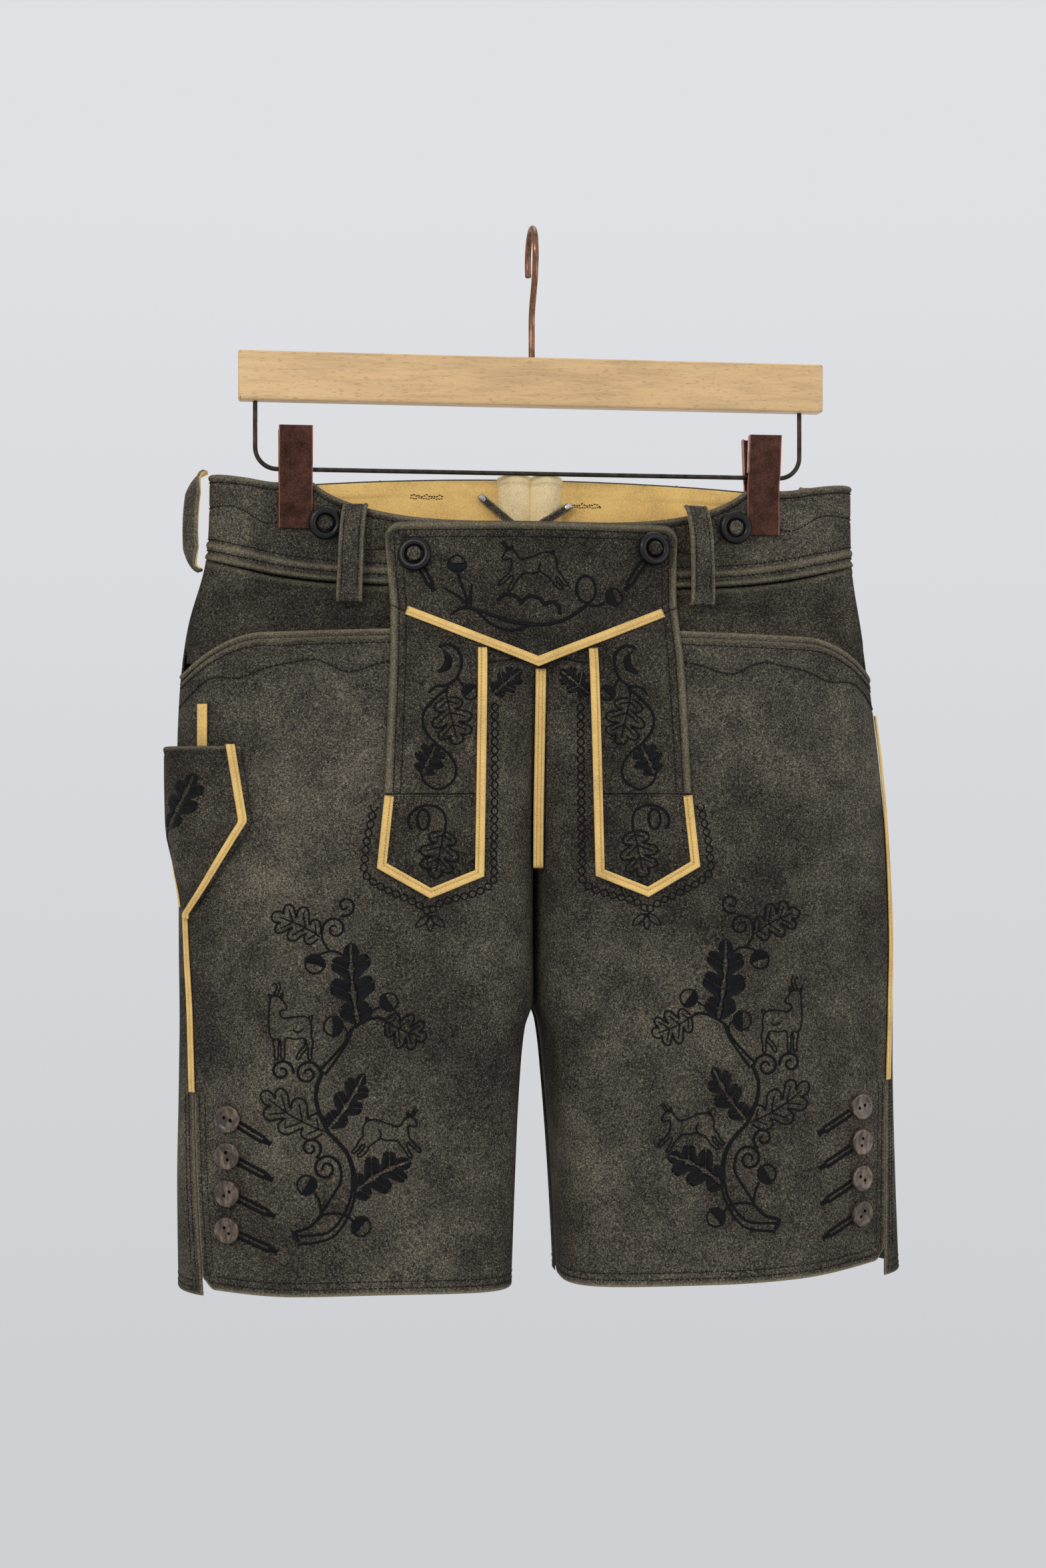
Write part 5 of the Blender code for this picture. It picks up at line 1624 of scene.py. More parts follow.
def press_clip(name, x, front):
    """One jaw of a clip: a plate that leans out to its top, with cheeks folded in above the wire."""
    way = -1.0 if front else 1.0
    low_y = (PINCH_FRONT if front else PINCH_BACK) + 2.0 * SEAM
    lean = CLIP_LEAN_FRONT if front else CLIP_LEAN_BACK
    neck_z = FRAME_LEVEL + FRAME_WIRE / 2.0 + 0.8
    piece = block(name, known("old_copper", make_old_copper),
                  (CLIP_WIDTH, CLIP_PLATE, CLIP_TOP - CLIP_LOW),
                  (x, way * (low_y + CLIP_PLATE / 2.0), (CLIP_TOP + CLIP_LOW) / 2.0))
    for z in (CLIP_BEND, neck_z):
        cut_across((0.0, 0.0, z), (0.0, 0.0, 1.0))
    inner = CLIP_WIDTH / 2.0 - CLIP_PLATE
    for edge in (-inner, inner):
        cut_across((x + edge, 0.0, 0.0), (1.0, 0.0, 0.0))
    pick(piece, "VERT", lambda vert: vert.co.z / MM > neck_z - 0.1)
    shift(0.0, way * lean * 0.45, 0.0)
    pick(piece, "VERT", lambda vert: vert.co.z / MM > CLIP_TOP - 0.1)
    shift(0.0, way * lean * 0.55, 0.0)
    pick(piece, "FACE", lambda face: face.normal.y * way < -0.8
         and abs(face.calc_center_median().x / MM - x) > inner
         and face.calc_center_median().z / MM > neck_z)
    bpy.ops.mesh.extrude_region_move(TRANSFORM_OT_translate={"value": (0.0, -way * CLIP_CHEEK * MM, 0.0)})
    refine(piece, "BEVEL", width=0.5 * MM, segments=3, limit_method="ANGLE")
    return settle(piece, 35.0)


def add_clips():
    for side, word in WORDS.items():
        for front, place in ((True, "front"), (False, "back")):
            node = f"clip_{place}_{word}"
            finished(press_clip(f"{node}_copper", side * CLIP_X, front), "old_copper", node)
        # The sprung strip between the jaws, which shows at their sides.
        piece = block(f"clip_spring_{word}_steel", steel(), (CLIP_WIDTH - 6.0, 7.0, 14.0),
                      (side * CLIP_X, 0.3, FRAME_LEVEL + 10.5))
        pick(piece, "FACE", lambda face: abs(face.normal.x) > 0.9)
        bpy.ops.mesh.inset(thickness=1.0 * MM, depth=-1.2 * MM)
        refine(piece, "BEVEL", width=0.6 * MM, segments=2, limit_method="ANGLE")
        finished(settle(piece, 35.0), "bronze")


# ---------------------------------------------------------------- lace tips
def add_lace_tips():
    """Pinched metal tips on the lace's two ends."""
    for (x, z), (next_x, next_z), word in ((LACE_POINTS[0], LACE_POINTS[1], "left"),
                                           (LACE_POINTS[-1], LACE_POINTS[-2], "right")):
        fresh()
        bpy.ops.mesh.primitive_cylinder_add(vertices=20, radius=0.5 * MM, depth=MM)
        piece = start(f"lace_tip_{word}_steel", steel())
        bpy.ops.transform.resize(value=(LACE_WIDTH * 0.92, 2.6, 4.6))
        pick(piece, "FACE", lambda face: face.normal.z > 0.9)
        bpy.ops.mesh.inset(thickness=0.5 * MM, depth=0.5 * MM)
        bpy.ops.transform.resize(value=(0.55, 0.55, 1.0))
        refine(piece, "BEVEL", width=0.35 * MM, segments=2, limit_method="ANGLE")
        spot = on_lace(np.array(float(x)), np.array(float(z)), LACE_THICK / 2.0)
        tilt = math.atan2(x - next_x, z - next_z)
        piece.matrix_world = Matrix.Translation(Vector(spot) * MM) @ Matrix.Rotation(tilt, 4, "Y")
        finished(settle(piece, 50.0), "bronze")


# ================================================================ seams
def sew_leg_seams(side, word):
    """Pocket mouth, wavy seam, slit and hem of a front, and the hem and slit of its back."""
    sewing = Sewing(body_place(side))
    girth = np.linspace(0.02, 0.975, 260)
    mouth = mouth_edge(girth / MOUTH_END)
    for drop in MOUTH_SEAMS:
        sewing.seam(girth * GIRTH_SPAN, mouth - drop - 0.4, 0.45, 0.25, 0.35)
    x = body(side, girth, mouth)[..., 0]
    sewing.seam(girth * GIRTH_SPAN, mouth_wave(girth, x), 0.45, 0.15, 0.45)
    for rise in HEM_SEAMS:
        last = 0.815 - 0.0042 * rise
        girth = np.linspace(0.015, last, 220)
        sewing.seam(girth * GIRTH_SPAN, hem_edge(side, girth) + rise)
        z = np.linspace(SLIT_TOP - 1.0, -668.0, 90)
        inside = past_seam(side, side_seam(z), z, -2.0 * SEAM - rise)
        sewing.seam(inside * GIRTH_SPAN, z, 0.32)
        girth = np.linspace(0.86, 1.99, 240)
        sewing.seam(girth * GIRTH_SPAN, HEM_BACK + rise)
        inside = past_seam(side, side_seam(z), z, SEAM + rise)
        sewing.seam(inside * GIRTH_SPAN, z, 0.32)
    sewing.piece(f"leg_{word}_stitches", seam_thread())


def sew_band_seams(side, word):
    sewing = Sewing(body_place(side))
    end = float(girth_at(side, GUSSET_HALF + 2.0, -190.0, True))
    girth = np.linspace(0.03, end, 380)
    high, low = top_edge(side, girth), band_edge(side, girth)
    x = body(side, girth, high)[..., 0]
    for z in (high - BAND_SEAMS[0], low + BAND_SEAMS[1], low + 5.6):
        sewing.seam(girth * GIRTH_SPAN, z, 0.42)
    sewing.seam(girth * GIRTH_SPAN, band_wave(side, girth, x), 0.34, 0.15)
    sewing.piece(f"waistband_{word}_stitches", seam_thread())


def sew_flap_seams():
    sewing = Sewing(on_flap)
    for inset in FLAP_SEAMS:
        corner = max(2.0, FLAP_CORNER - inset)
        turn = np.linspace(math.pi / 2.0, 0.0, 12)
        levels = np.linspace(FLAP_TOP - inset - corner, STRIP_SEAM + 1.0, 130)
        for side in WORDS:
            half = float(flap_half(FLAP_TOP)) - inset
            across = np.linspace(0.0, half - corner, 60)
            path = [stack(across, FLAP_TOP - inset),
                    stack(half - corner + corner * np.cos(turn), FLAP_TOP - inset - corner
                          + corner * np.sin(turn)),
                    stack(flap_half(levels) - inset, levels)]
            path = np.concatenate(path) * (side, 1.0) + (FLAP_X, 0.0)
            sewing.seam(*path.T, 0.34, 0.12)
    for side in WORDS:
        across = np.linspace(0.03, 0.97, 40)
        sewing.seam(strip_x(side, across, STRIP_SEAM), STRIP_SEAM - 1.6, 0.26, 0.4)
        levels = np.linspace(STRIP_SEAM - 2.0, TIP_OUTER[1] + 8.0, 30)
        for share in (0.13, 0.87):
            sewing.seam(strip_x(side, share, levels), levels, 0.26, 0.4)
    sewing.piece("flap_stitches", seam_thread())


def sew_piping_seams():
    """Fine toning stitches along the pipings."""
    rise = 2.0 * SEAM + PIPING - 0.1
    sewing = Sewing(lambda x, z, out: on_flap(x, z, rise + out))
    aside = 0.14 * PIPING_WIDTH
    for path in (v_outline(aside), *(strip_outline(side, PIPING_WIDTH / 2.0 + aside) for side in WORDS)):
        sewing.line(straight(path, 2.0), 0.2, 1.9, 0.45, 0.3)
    sewing.piece("flap_piping_stitches", pale_thread(), "chamois")
    centre = Sewing(lambda x, z, out: np.stack(
        [x, depth(1, 4.4, z, True) - 1.4 - PIPING + 0.1 - out, z], axis=-1))
    for x in (-1.2, 1.2):
        centre.line(stack(x, np.linspace(-290.5, -417.0, 60)), 0.22, 1.9, 0.45, 0.3)
    centre.piece("centre_piping_stitches", pale_thread(), "chamois")


def sew_facing_patches():
    """Two patches of dark hand stitches on the facing, where the lace's eyelets are tacked."""
    behind = BAND + SEAM + FACING + 0.1
    for side, word, low, high, z in ((-1, "left", 58.0, 80.0, -174.0), (1, "right", 24.0, 47.0, -178.0)):
        sewing = Sewing(lambda x, z, out, side=side: on_body(
            side, girth_at(side, x, z, True), z, -behind - out))
        for i, x in enumerate(np.arange(low, high, 1.7)):
            lean = 1.1 * math.sin(2.3 * i)
            drop = 0.5 * math.sin(1.3 * i)
            sewing.stitch((x, z + drop), (x + 1.6, z + drop + 0.7 * lean), 0.36, 0.1)
            sewing.stitch((x + 0.4, z - 1.7 - drop), (x + 1.9, z - 1.6 + 0.4 * lean), 0.3, 0.1)
        sewing.piece(f"facing_{word}_stitches", seam_thread())


def sew_loop_seams():
    for word, side, girth, high, low in loop_places():
        def place(x, z, out, side=side, girth=girth, high=high, low=low):
            step = past_seam(side, girth, z, 1.0) - girth
            return on_body(side, girth + step * x, z,
                           0.9 + LOOP_THICK + loop_rise((z - high) / (low - high)) + out)
        sewing = Sewing(place)
        levels = high + (low - high) * np.linspace(0.06, 0.94, 40)
        for x in (-5.2, 5.2):
            sewing.seam(x, levels)
        sewing.piece(f"loop_{word}_stitches", seam_thread())


def sew_seams():
    for side, word in WORDS.items():
        sew_leg_seams(side, word)
        sew_band_seams(side, word)
    sew_flap_seams()
    sew_piping_seams()
    sew_facing_patches()
    sew_loop_seams()


# ================================================================ buttonholes
BAR_WIDTHS = np.append(np.linspace(4.2, 2.2, 8)[:7], 4.2)    # along the bar at a slit's far end


def sew_buttonhole(sewing, start_point, end_point):
    """A long slit whipped all round with satin, and barred at its far end."""
    start_point, end_point = np.array(start_point, float), np.array(end_point, float)
    way = unit(end_point - start_point)
    stop = end_point - way * 5.0
    for half in (-1.75, 1.75):
        aside = square_to(way) * half
        sewing.cord(straight([start_point + aside, stop + aside], 1.0), 1.9, 0.15)
    sewing.cord(straight([stop - way * 0.4, end_point], 0.8), BAR_WIDTHS, 0.0)


def sew_buttonholes():
    for side, word in WORDS.items():
        sewing = Sewing(on_front)
        ends = {-1: ((26.0, -15.0), (30.0, -13.0)), 1: ((-30.0, -16.0), (-27.0, -14.0))}[side]
        for i, z in enumerate(HEM_BUTTON_LEVELS):
            share = i / (len(HEM_BUTTON_LEVELS) - 1)
            reach = np.array(ends[0]) * (1.0 - share) + np.array(ends[1]) * share
            middle = np.array([HEM_BUTTON_X[side], z])
            sew_buttonhole(sewing, middle + reach * 0.22, middle + reach)
        sewing.piece(f"hem_buttonholes_{word}", thread())
    sewing = Sewing(on_flap)
    for word, end in (("flap_left", (-67.5, -240.5)), ("flap_right", (56.0, -239.0))):
        middle = np.array(FLAP_BUTTONS[word])
        sew_buttonhole(sewing, middle + 0.3 * (np.array(end) - middle), end)
    sewing.piece("flap_buttonholes", thread())


# ================================================================ embroidery
# An oak leaf's edge from its stalk to its tip, three round lobes and the end one: shares along
# the midrib, and shares of half the width.  Its veins run from the midrib into the lobes.
OAK_EDGE = ((0.02, 0.10), (0.06, 0.42), (0.14, 0.70), (0.24, 0.66), (0.29, 0.42), (0.27, 0.20),
            (0.34, 0.50), (0.42, 0.92), (0.54, 0.98), (0.60, 0.66), (0.555, 0.24),
            (0.64, 0.52), (0.73, 0.84), (0.84, 0.78), (0.86, 0.46), (0.80, 0.20),
            (0.89, 0.34), (0.98, 0.25), (1.02, 0.0))
OAK_VEINS = (((0.10, 0.03), (0.20, 0.48)), ((0.34, 0.03), (0.50, 0.70)), ((0.60, 0.03), (0.77, 0.58)),
             ((0.0, 0.0), (0.88, 0.0)))

# The chamois, drawn from chest to rump and back along the belly (mm).  "standing" looks back over
# its shoulder; "leaping" springs to the left.
STANDING = {
    "body": ((-12.4, 14.0), (-14.1, 20.0), (-14.4, 28.0), (-13.8, 35.0), (-13.2, 40.2), (-10.6, 41.6),
             (-7.6, 40.6), (-4.6, 37.4), (-2.6, 34.4), (-3.6, 32.2), (-6.4, 32.4), (-7.4, 29.4),
             (-4.8, 27.2), (0.0, 27.7), (6.0, 28.4), (10.8, 27.4), (12.9, 22.4), (12.6, 16.0),
             (13.9, 11.5), (12.8, 6.0), (12.8, 0.6), (10.7, 0.6), (10.7, 6.0), (10.2, 9.6), (8.0, 14.6),
             (2.6, 13.8), (-3.4, 14.6), (-4.2, 8.0), (-4.3, 1.0), (-6.3, 1.0), (-6.6, 8.0), (-7.2, 13.6)),
    "leg": ((-7.8, 14.0), (-8.2, 8.0), (-8.4, 1.0), (-10.5, 1.0), (-10.8, 8.0), (-12.0, 13.4)),
    "hind": ((7.8, 14.2), (9.0, 10.4), (5.4, 6.6), (3.2, 2.8), (3.0, 0.9), (5.2, 0.9), (6.6, 4.0),
             (10.4, 8.2)),
    "haunch": ((1.0, 20.0), (4.6, 18.0), (7.6, 20.6)),
    "tail": ((10.8, 27.4), (13.4, 29.4), (12.9, 25.8)),
    "horn": ((-11.0, 41.5), (-9.9, 45.0), (-8.9, 48.0), (-10.6, 49.6), (-12.0, 48.3)),
    "far_horn": ((-9.0, 41.5), (-7.4, 45.0), (-6.9, 48.4), (-8.6, 50.4)),
    "ear": ((-13.2, 39.6), (-15.0, 43.2), (-12.6, 41.6)),
    "other_ear": ((-7.4, 40.8), (-5.4, 43.6), (-5.6, 39.6)),
}
LEAPING = {
    "body": ((-20.9, 3.4), (-19.8, 1.7), (-16.6, 2.0), (-14.7, 3.2), (-14.4, -1.0), (-15.0, -5.0),
             (-17.8, -9.0), (-22.2, -13.2), (-24.0, -15.4), (-22.6, -16.7), (-19.0, -13.4), (-13.6, -8.8),
             (-14.2, -13.0), (-16.8, -17.6), (-17.6, -19.8), (-15.3, -19.9), (-12.2, -14.6), (-8.4, -9.6),
             (-6.4, -7.6), (0.0, -7.4), (5.0, -6.2), (8.6, -8.6), (12.0, -10.6), (14.6, -15.0),
             (18.6, -18.4), (20.6, -18.8), (21.2, -17.0), (17.6, -14.4), (15.6, -9.8), (18.0, -10.0),
             (20.0, -13.6), (23.8, -16.2), (25.2, -15.0), (22.0, -11.8), (19.6, -7.0), (16.8, -4.4),
             (17.3, 0.4), (15.6, 4.8), (12.6, 6.9), (7.4, 7.2), (1.6, 4.9), (-4.4, 2.8), (-8.6, 2.2),
             (-10.6, 5.0), (-12.8, 8.2), (-15.8, 9.2), (-18.2, 7.8), (-20.0, 5.8)),
    "haunch": ((5.2, -6.2), (4.2, -2.6), (6.2, 0.2)),
    "tail": ((12.6, 6.9), (15.0, 9.6), (14.6, 5.8)),
    "horn": ((-17.6, 8.4), (-19.8, 12.0), (-22.0, 14.0)),
    "far_horn": ((-16.4, 9.0), (-18.0, 12.8), (-20.4, 15.2)),
    "ear": ((-15.6, 9.2), (-14.2, 12.6), (-13.4, 8.8)),
}


def leaf_place(base, tip, width, bend):
    """Turns millimetres along and across a leaf's midrib into the flat of the cloth."""
    base, tip = np.array(base, float), np.array(tip, float)
    length = np.linalg.norm(tip - base)
    along = (tip - base) / length

    def place(points):
        run, aside = np.asarray(points, float).T
        sway = bend * length * np.sin(math.pi * np.clip(run / length, 0.0, 1.0))
        return base + np.outer(run, along) + np.outer(aside + sway, square_to(along))
    return place, np.array([length, width / 2.0])


def oak_edges(size):
    """Both edges of the leaf, in millimetres along and across the midrib."""
    half = curve(np.array(OAK_EDGE) * size, 0.5)
    return half, half * (1.0, -1.0)


def outlined_leaf(sewing, base, tip, width, bend=0.05):
    place, size = leaf_place(base, tip, width, bend)
    for edge, way in zip(oak_edges(size), (1.0, -1.0)):
        sewing.line(place(edge), 0.68, 1.7, -0.5)
        for vein in OAK_VEINS[:3]:
            sewing.line(place(straight(np.array(vein) * size * (1.0, way), 0.8)), 0.55, 1.6, -0.4)
    sewing.line(place(straight(np.array(OAK_VEINS[3]) * size, 0.8)), 0.54, 1.6, -0.4)


def filled_leaf(sewing, base, tip, width, bend=0.05):
    """Satin threads that lean from the midrib out to the leaf's edge, and leave the midrib bare."""
    place, size = leaf_place(base, tip, width, bend)
    for half, way in zip(oak_edges(size), (1.0, -1.0)):
        edge = spots_at(half, np.arange(0.4, run_along(half)[-1], sewing.pitch()))
        veins = np.array([vein[1] for vein in OAK_VEINS[:3]]) * size
        lean = edge[:, :1] - 0.5 * (np.abs(edge[:, 1:]) - veins[:, 1])
        edge = edge[np.abs(lean - veins[:, 0]).min(axis=1) > 0.32]
        away = np.abs(edge[:, 1])
        root = np.maximum(edge[:, 0] - 0.5 * away, 0.0)
        inner = np.stack([root, way * np.minimum(0.55, 0.4 * away)], axis=-1)
        sewing.satin(place(inner), place(edge), 0.42)


def acorn(sewing, centre, radius, cap_angle):
    """A nut in outline in a satin cap; cap_angle is the way the cap points, in degrees."""
    centre = np.array(centre, float)
    turn = math.radians(cap_angle)
    way = np.array([math.cos(turn), math.sin(turn)])
    sewing.line(oval(centre, radius, radius), 0.68, 1.7, -0.5)
    offsets = np.arange(-1.12 * radius, 1.12 * radius, 0.5)
    reach = np.sqrt(np.maximum(0.0, (1.14 * radius) ** 2 - offsets**2))
    flat = centre + np.outer(offsets, square_to(way))
    sewing.satin(flat - way * 0.1 * radius, flat + np.outer(reach, way), 0.4)


def scroll(sewing, centre, radius, start_angle, turns, width=1.7):
    """A cord that winds in to its heart; it turns left when turns is positive."""
    share = np.linspace(0.0, 1.0, 60)
    angle = np.radians(start_angle) + share * turns * 2.0 * math.pi
    reach = radius * (1.0 - 0.80 * share)
    spots = centre + stack(reach * np.cos(angle), reach * np.sin(angle))
    sewing.cord(spots, width * (1.0 - 0.25 * share), 0.2)


def stem(sewing, points, wide, narrow):
    """Two cords that run apart where the stem is thick and meet at its end."""
    path = curve(points, 1.5)
    across = square_to(unit(np.gradient(path, axis=0)))
    share = np.linspace(0.0, 1.0, len(path))[:, None]
    apart = narrow + (wide - narrow) * (1.0 - share) ** 1.5
    for side in WORDS:
        sewing.cord(path + side * across * apart / 2.0, 1.5, 0.3)


def chamois_figure(sewing, drawing, centre, scale, mirrored=False):
    for word, points in drawing.items():
        points = np.array(points, float) * scale * (-1.0 if mirrored else 1.0, 1.0) + centre
        sewing.line(curve(points, 0.9, word == "body"), 0.62, 1.6, -0.4)


LEG_MIRROR = -4.0     # the right leg's drawing is this, less the left leg's x
POCKET_WIDE = 46.0    # millimetres across the knife pocket where its leaf lies

# The branch on a leg (mm): stems, each with its width at both ends; satin cords with their width;
# single lines; leaves from stalk to tip, with their width and bend; acorns with their radius and
# the way the cap points; and scrolls with radius, starting angle, turns and width.
BRANCH_STEMS = (
    (5.5, 0.6, (-155.0, -649.0), (-135.0, -646.0), (-123.0, -630.0), (-120.0, -611.0),
     (-124.5, -595.0), (-136.0, -582.0)),
    (0.8, 0.8, (-136.0, -582.0), (-142.5, -567.0), (-143.5, -555.0), (-139.5, -544.0)),
    (4.6, 0.6, (-139.5, -544.0), (-131.0, -534.0), (-124.5, -525.0), (-121.5, -517.5)),
)
BRANCH_CORDS = (
    (1.8, (-155.5, -649.5), (-157.5, -644.5), (-148.0, -641.0), (-140.0, -633.5)),
    (1.6, (-121.5, -517.5), (-112.0, -512.0), (-104.0, -510.5), (-99.0, -513.5)),
    (1.2, (-124.5, -474.0), (-129.0, -469.5), (-135.0, -468.5), (-141.5, -470.5)),
    (1.2, (-135.0, -468.5), (-139.5, -461.5), (-139.6, -455.0)),
    (1.5, (-140.5, -632.5), (-133.0, -621.0), (-128.0, -611.5), (-129.0, -602.0)),
    (1.5, (-140.5, -633.0), (-141.5, -626.0), (-144.0, -620.0)),
    (1.5, (-140.0, -633.5), (-133.0, -632.5), (-125.0, -634.0), (-121.0, -637.5)),
)
BRANCH_LINES = (
    ((-116.0, -514.0), (-110.0, -507.0), (-103.5, -503.5)),
    ((-125.0, -523.0), (-124.0, -519.0), (-126.5, -515.5)),
)
FILLED_LEAVES = (
    ((-117.0, -515.0), (-122.0, -464.0), 30.0, 0.03),
    ((-135.0, -579.0), (-114.0, -546.0), 21.0, -0.04),
    ((-121.0, -621.0), (-85.0, -601.0), 27.0, 0.06),
)
OUTLINED_LEAVES = (
    ((-100.0, -512.5), (-75.0, -523.5), 23.0, -0.05),
    ((-141.0, -459.5), (-170.5, -446.0), 23.0, -0.05),
    ((-138.0, -581.5), (-177.0, -557.5), 25.0, 0.05),
)
ACORNS = (
    ((-98.0, -500.5), 5.6, 215.0), ((-133.0, -515.5), 6.0, 0.0), ((-144.5, -476.5), 6.0, 75.0),
    ((-149.5, -614.5), 6.0, 330.0), ((-115.5, -641.5), 6.0, 140.0),
)
SCROLLS = (
    ((-132.0, -454.5), 7.6, 180.0, -1.35, 1.4), ((-125.5, -440.0), 6.6, 250.0, 1.25, 1.4),
    ((-165.0, -543.5), 7.4, 350.0, 1.35), ((-149.0, -545.0), 8.2, 5.0, 1.45),
    ((-147.0, -591.5), 7.0, 300.0, 1.35), ((-137.5, -604.5), 8.6, 20.0, 1.5),
)


def sew_branch(sewing):
    for wide, narrow, *points in BRANCH_STEMS:
        stem(sewing, points, wide, narrow)
    sewing.cord(straight([(-157.5, -644.5), (-155.0, -650.0)], 0.5), 2.2)
    for width, *points in BRANCH_CORDS:
        sewing.cord(curve(points, 1.0), width)
    for points in BRANCH_LINES:
        sewing.line(curve(points, 0.8), 0.66, 1.6, -0.5)
    for sew, rows in ((filled_leaf, FILLED_LEAVES), (outlined_leaf, OUTLINED_LEAVES),
                      (acorn, ACORNS), (scroll, SCROLLS)):
        for row in rows:
            sew(sewing, *row)
    chamois_figure(sewing, STANDING, (-159.0, -537.0), 0.98)
    chamois_figure(sewing, LEAPING, (-99.0, -581.0), 0.9, True)


def embroider_legs():
    """An oak branch with acorns, scrolls and two chamois; the right leg mirrors the left."""
    for side, word in WORDS.items():
        sewing = Sewing(lambda x, z, out, side=side: on_front(x if side < 0 else LEG_MIRROR - x, z, out))
        sew_branch(sewing)
        sewing.piece(f"leg_{word}_embroidery", thread())


def on_pocket(x, z, out):
    share = np.clip(x / POCKET_WIDE, 0.02, 0.98)
    return on_body(-1, knife_girth(share, z), z, knife_lift(share, z) + LEATHER + out)


def embroider_pocket():
    """An oak leaf on the knife pocket."""
    sewing = Sewing(on_pocket)
    filled_leaf(sewing, (31.0, -392.0), (16.0, -358.0), 16.0, 0.03)
    sewing.cord(curve([(31.0, -392.0), (34.0, -398.0), (32.0, -404.0)], 0.8), 1.4)
    sewing.piece("knife_pocket_embroidery", thread())


def sew_thistle(sewing):
    """A ball with a fringe of satin below it, on a stalk with three pointed leaves."""
    ball = np.array([-52.5, -222.5])
    sewing.line(oval(ball, 5.4, 5.4, -10.0, 191.0), 0.66, 1.6, -0.5)
    offsets = np.arange(-6.0, 6.1, 0.5)
    low = -5.8 + 2.6 * (offsets / 6.0) ** 2 - 0.6 * np.abs(np.sin(offsets * 2.4))
    sewing.satin(ball + stack(offsets, 0.8), ball + stack(offsets * 0.92, low), 0.42)
    sewing.cord(curve([(-52.0, -229.0), (-49.5, -238.0), (-45.5, -249.0)], 0.8), 1.7, 0.35)
    for tip in ((-61.5, -238.5), (-43.5, -236.0), (-57.5, -256.0)):
        path = curve([(-45.0, -250.5), (np.array([-45.0, -250.5]) + tip) / 2.0 + (0.0, 1.0), tip], 0.7)
        sewing.cord(path, np.linspace(2.8, 0.9, len(path)), 0.45)


def embroider_flap():
    """Thistle, leaping chamois, hills and acorn on the flap's top; vines on its strips."""
    sewing = Sewing(on_flap)
    sew_thistle(sewing)
    chamois_figure(sewing, LEAPING, (-4.5, -221.5), 0.93)
    for hill in (((-27.5, -246.5), (-22.0, -242.5), (-15.0, -244.0), (-12.5, -248.0)),
                 ((-12.5, -248.0), (-7.0, -243.5), (0.0, -245.0), (3.0, -249.0)),
                 ((3.0, -249.0), (8.0, -247.0), (12.0, -250.0), (12.5, -255.0))):
        sewing.cord(curve(hill, 0.8), 2.4, 0.1)
    stem(sewing, [(-46.0, -251.5), (-33.0, -255.5), (-18.0, -260.5), (-4.0, -262.0)], 0.8, 0.8)
    sewing.cord(curve([(-40.0, -254.0), (-32.0, -262.0), (-20.0, -266.0), (-6.0, -262.5)], 0.8), 1.7, 0.35)
    sewing.cord(curve([(-6.0, -262.3), (6.0, -261.5), (18.0, -257.5), (29.5, -249.5)], 0.8), 2.2, 0.35)
    sewing.cord(oval((30.0, -238.5), 6.2, 9.0, -90.0, 271.0, 10.0), 1.6)
    sewing.cord(curve([(30.0, -248.5), (36.0, -249.5), (41.5, -247.5)], 0.8), 1.6)
    acorn(sewing, (48.5, -243.5), 5.6, 200.0)
    for side in WORDS:
        sew_strip_vine(sewing, side)
    sewing.piece("flap_embroidery", thread())


def sew_strip_vine(sewing, side):
    """A vine with a curled bud, an acorn and oak leaves down a strip; then a curl and a leaf on
    its tip.  The right strip mirrors the left."""
    def lay(points):
        points = np.array(points, float)
        return points if side < 0 else points * (-1.0, 1.0) + (2.0 * FLAP_X, 0.0)

    def vine(points, width):
        path = curve(lay(points), 0.8)
        sewing.cord(path, np.linspace(width, 0.75 * width, len(path)), 0.35 * -side)

    vine([(-65.7, -277.0), (-59.5, -275.5), (-53.5, -279.5), (-51.6, -287.0), (-54.5, -296.0),
          (-61.0, -301.0), (-68.0, -302.0), (-72.5, -306.0)], 1.9)
    bud_in = curve(lay([(-64.2, -278.0), (-62.4, -283.0), (-63.6, -288.0), (-67.4, -292.2)]), 0.45)
    bud_out = curve(lay([(-62.8, -279.0), (-57.6, -284.0), (-58.4, -291.0), (-66.6, -294.0)]), 0.6)
    count = min(len(bud_in), len(bud_out))
    sewing.satin(bud_in[:count], bud_out[:count], 0.42)
    vine([(-60.5, -301.5), (-61.5, -306.0), (-61.0, -310.0)], 1.5)
    vine([(-54.0, -297.0), (-52.0, -300.0), (-50.5, -302.0)], 1.4)
    acorn(sewing, lay([(-46.5, -305.5)])[0], 4.8, 135.0 if side < 0 else 45.0)
    outlined_leaf(sewing, *lay([(-61.5, -308.5), (-54.5, -338.0)]), 26.0, 0.0)
    vine([(-62.0, -304.0), (-70.0, -311.0), (-76.0, -319.0), (-75.8, -328.0), (-70.0, -336.5),
          (-60.5, -344.5), (-55.6, -353.5), (-58.0, -362.0), (-67.0, -367.0), (-75.5, -362.5),
          (-77.5, -357.0)], 1.7)
    filled_leaf(sewing, *lay([(-77.0, -357.5), (-68.0, -338.5)]), 21.0, 0.0)
    vine([(-84.0, -392.0), (-86.0, -386.0), (-81.6, -379.6), (-73.0, -377.0), (-65.0, -380.0),
          (-62.2, -386.5), (-63.0, -394.0)], 1.7)
    sewing.cord(oval(lay([(-76.5, -386.0)])[0], 3.8, 6.4, 60.0, 421.0, 10.0), 1.5)
    outlined_leaf(sewing, *lay([(-63.2, -393.0), (-69.5, -422.5)]), 25.0, 0.0)


BRAID_APART, BRAID_SWING, BRAID_WAVE = 7.0, 2.5, 11.0


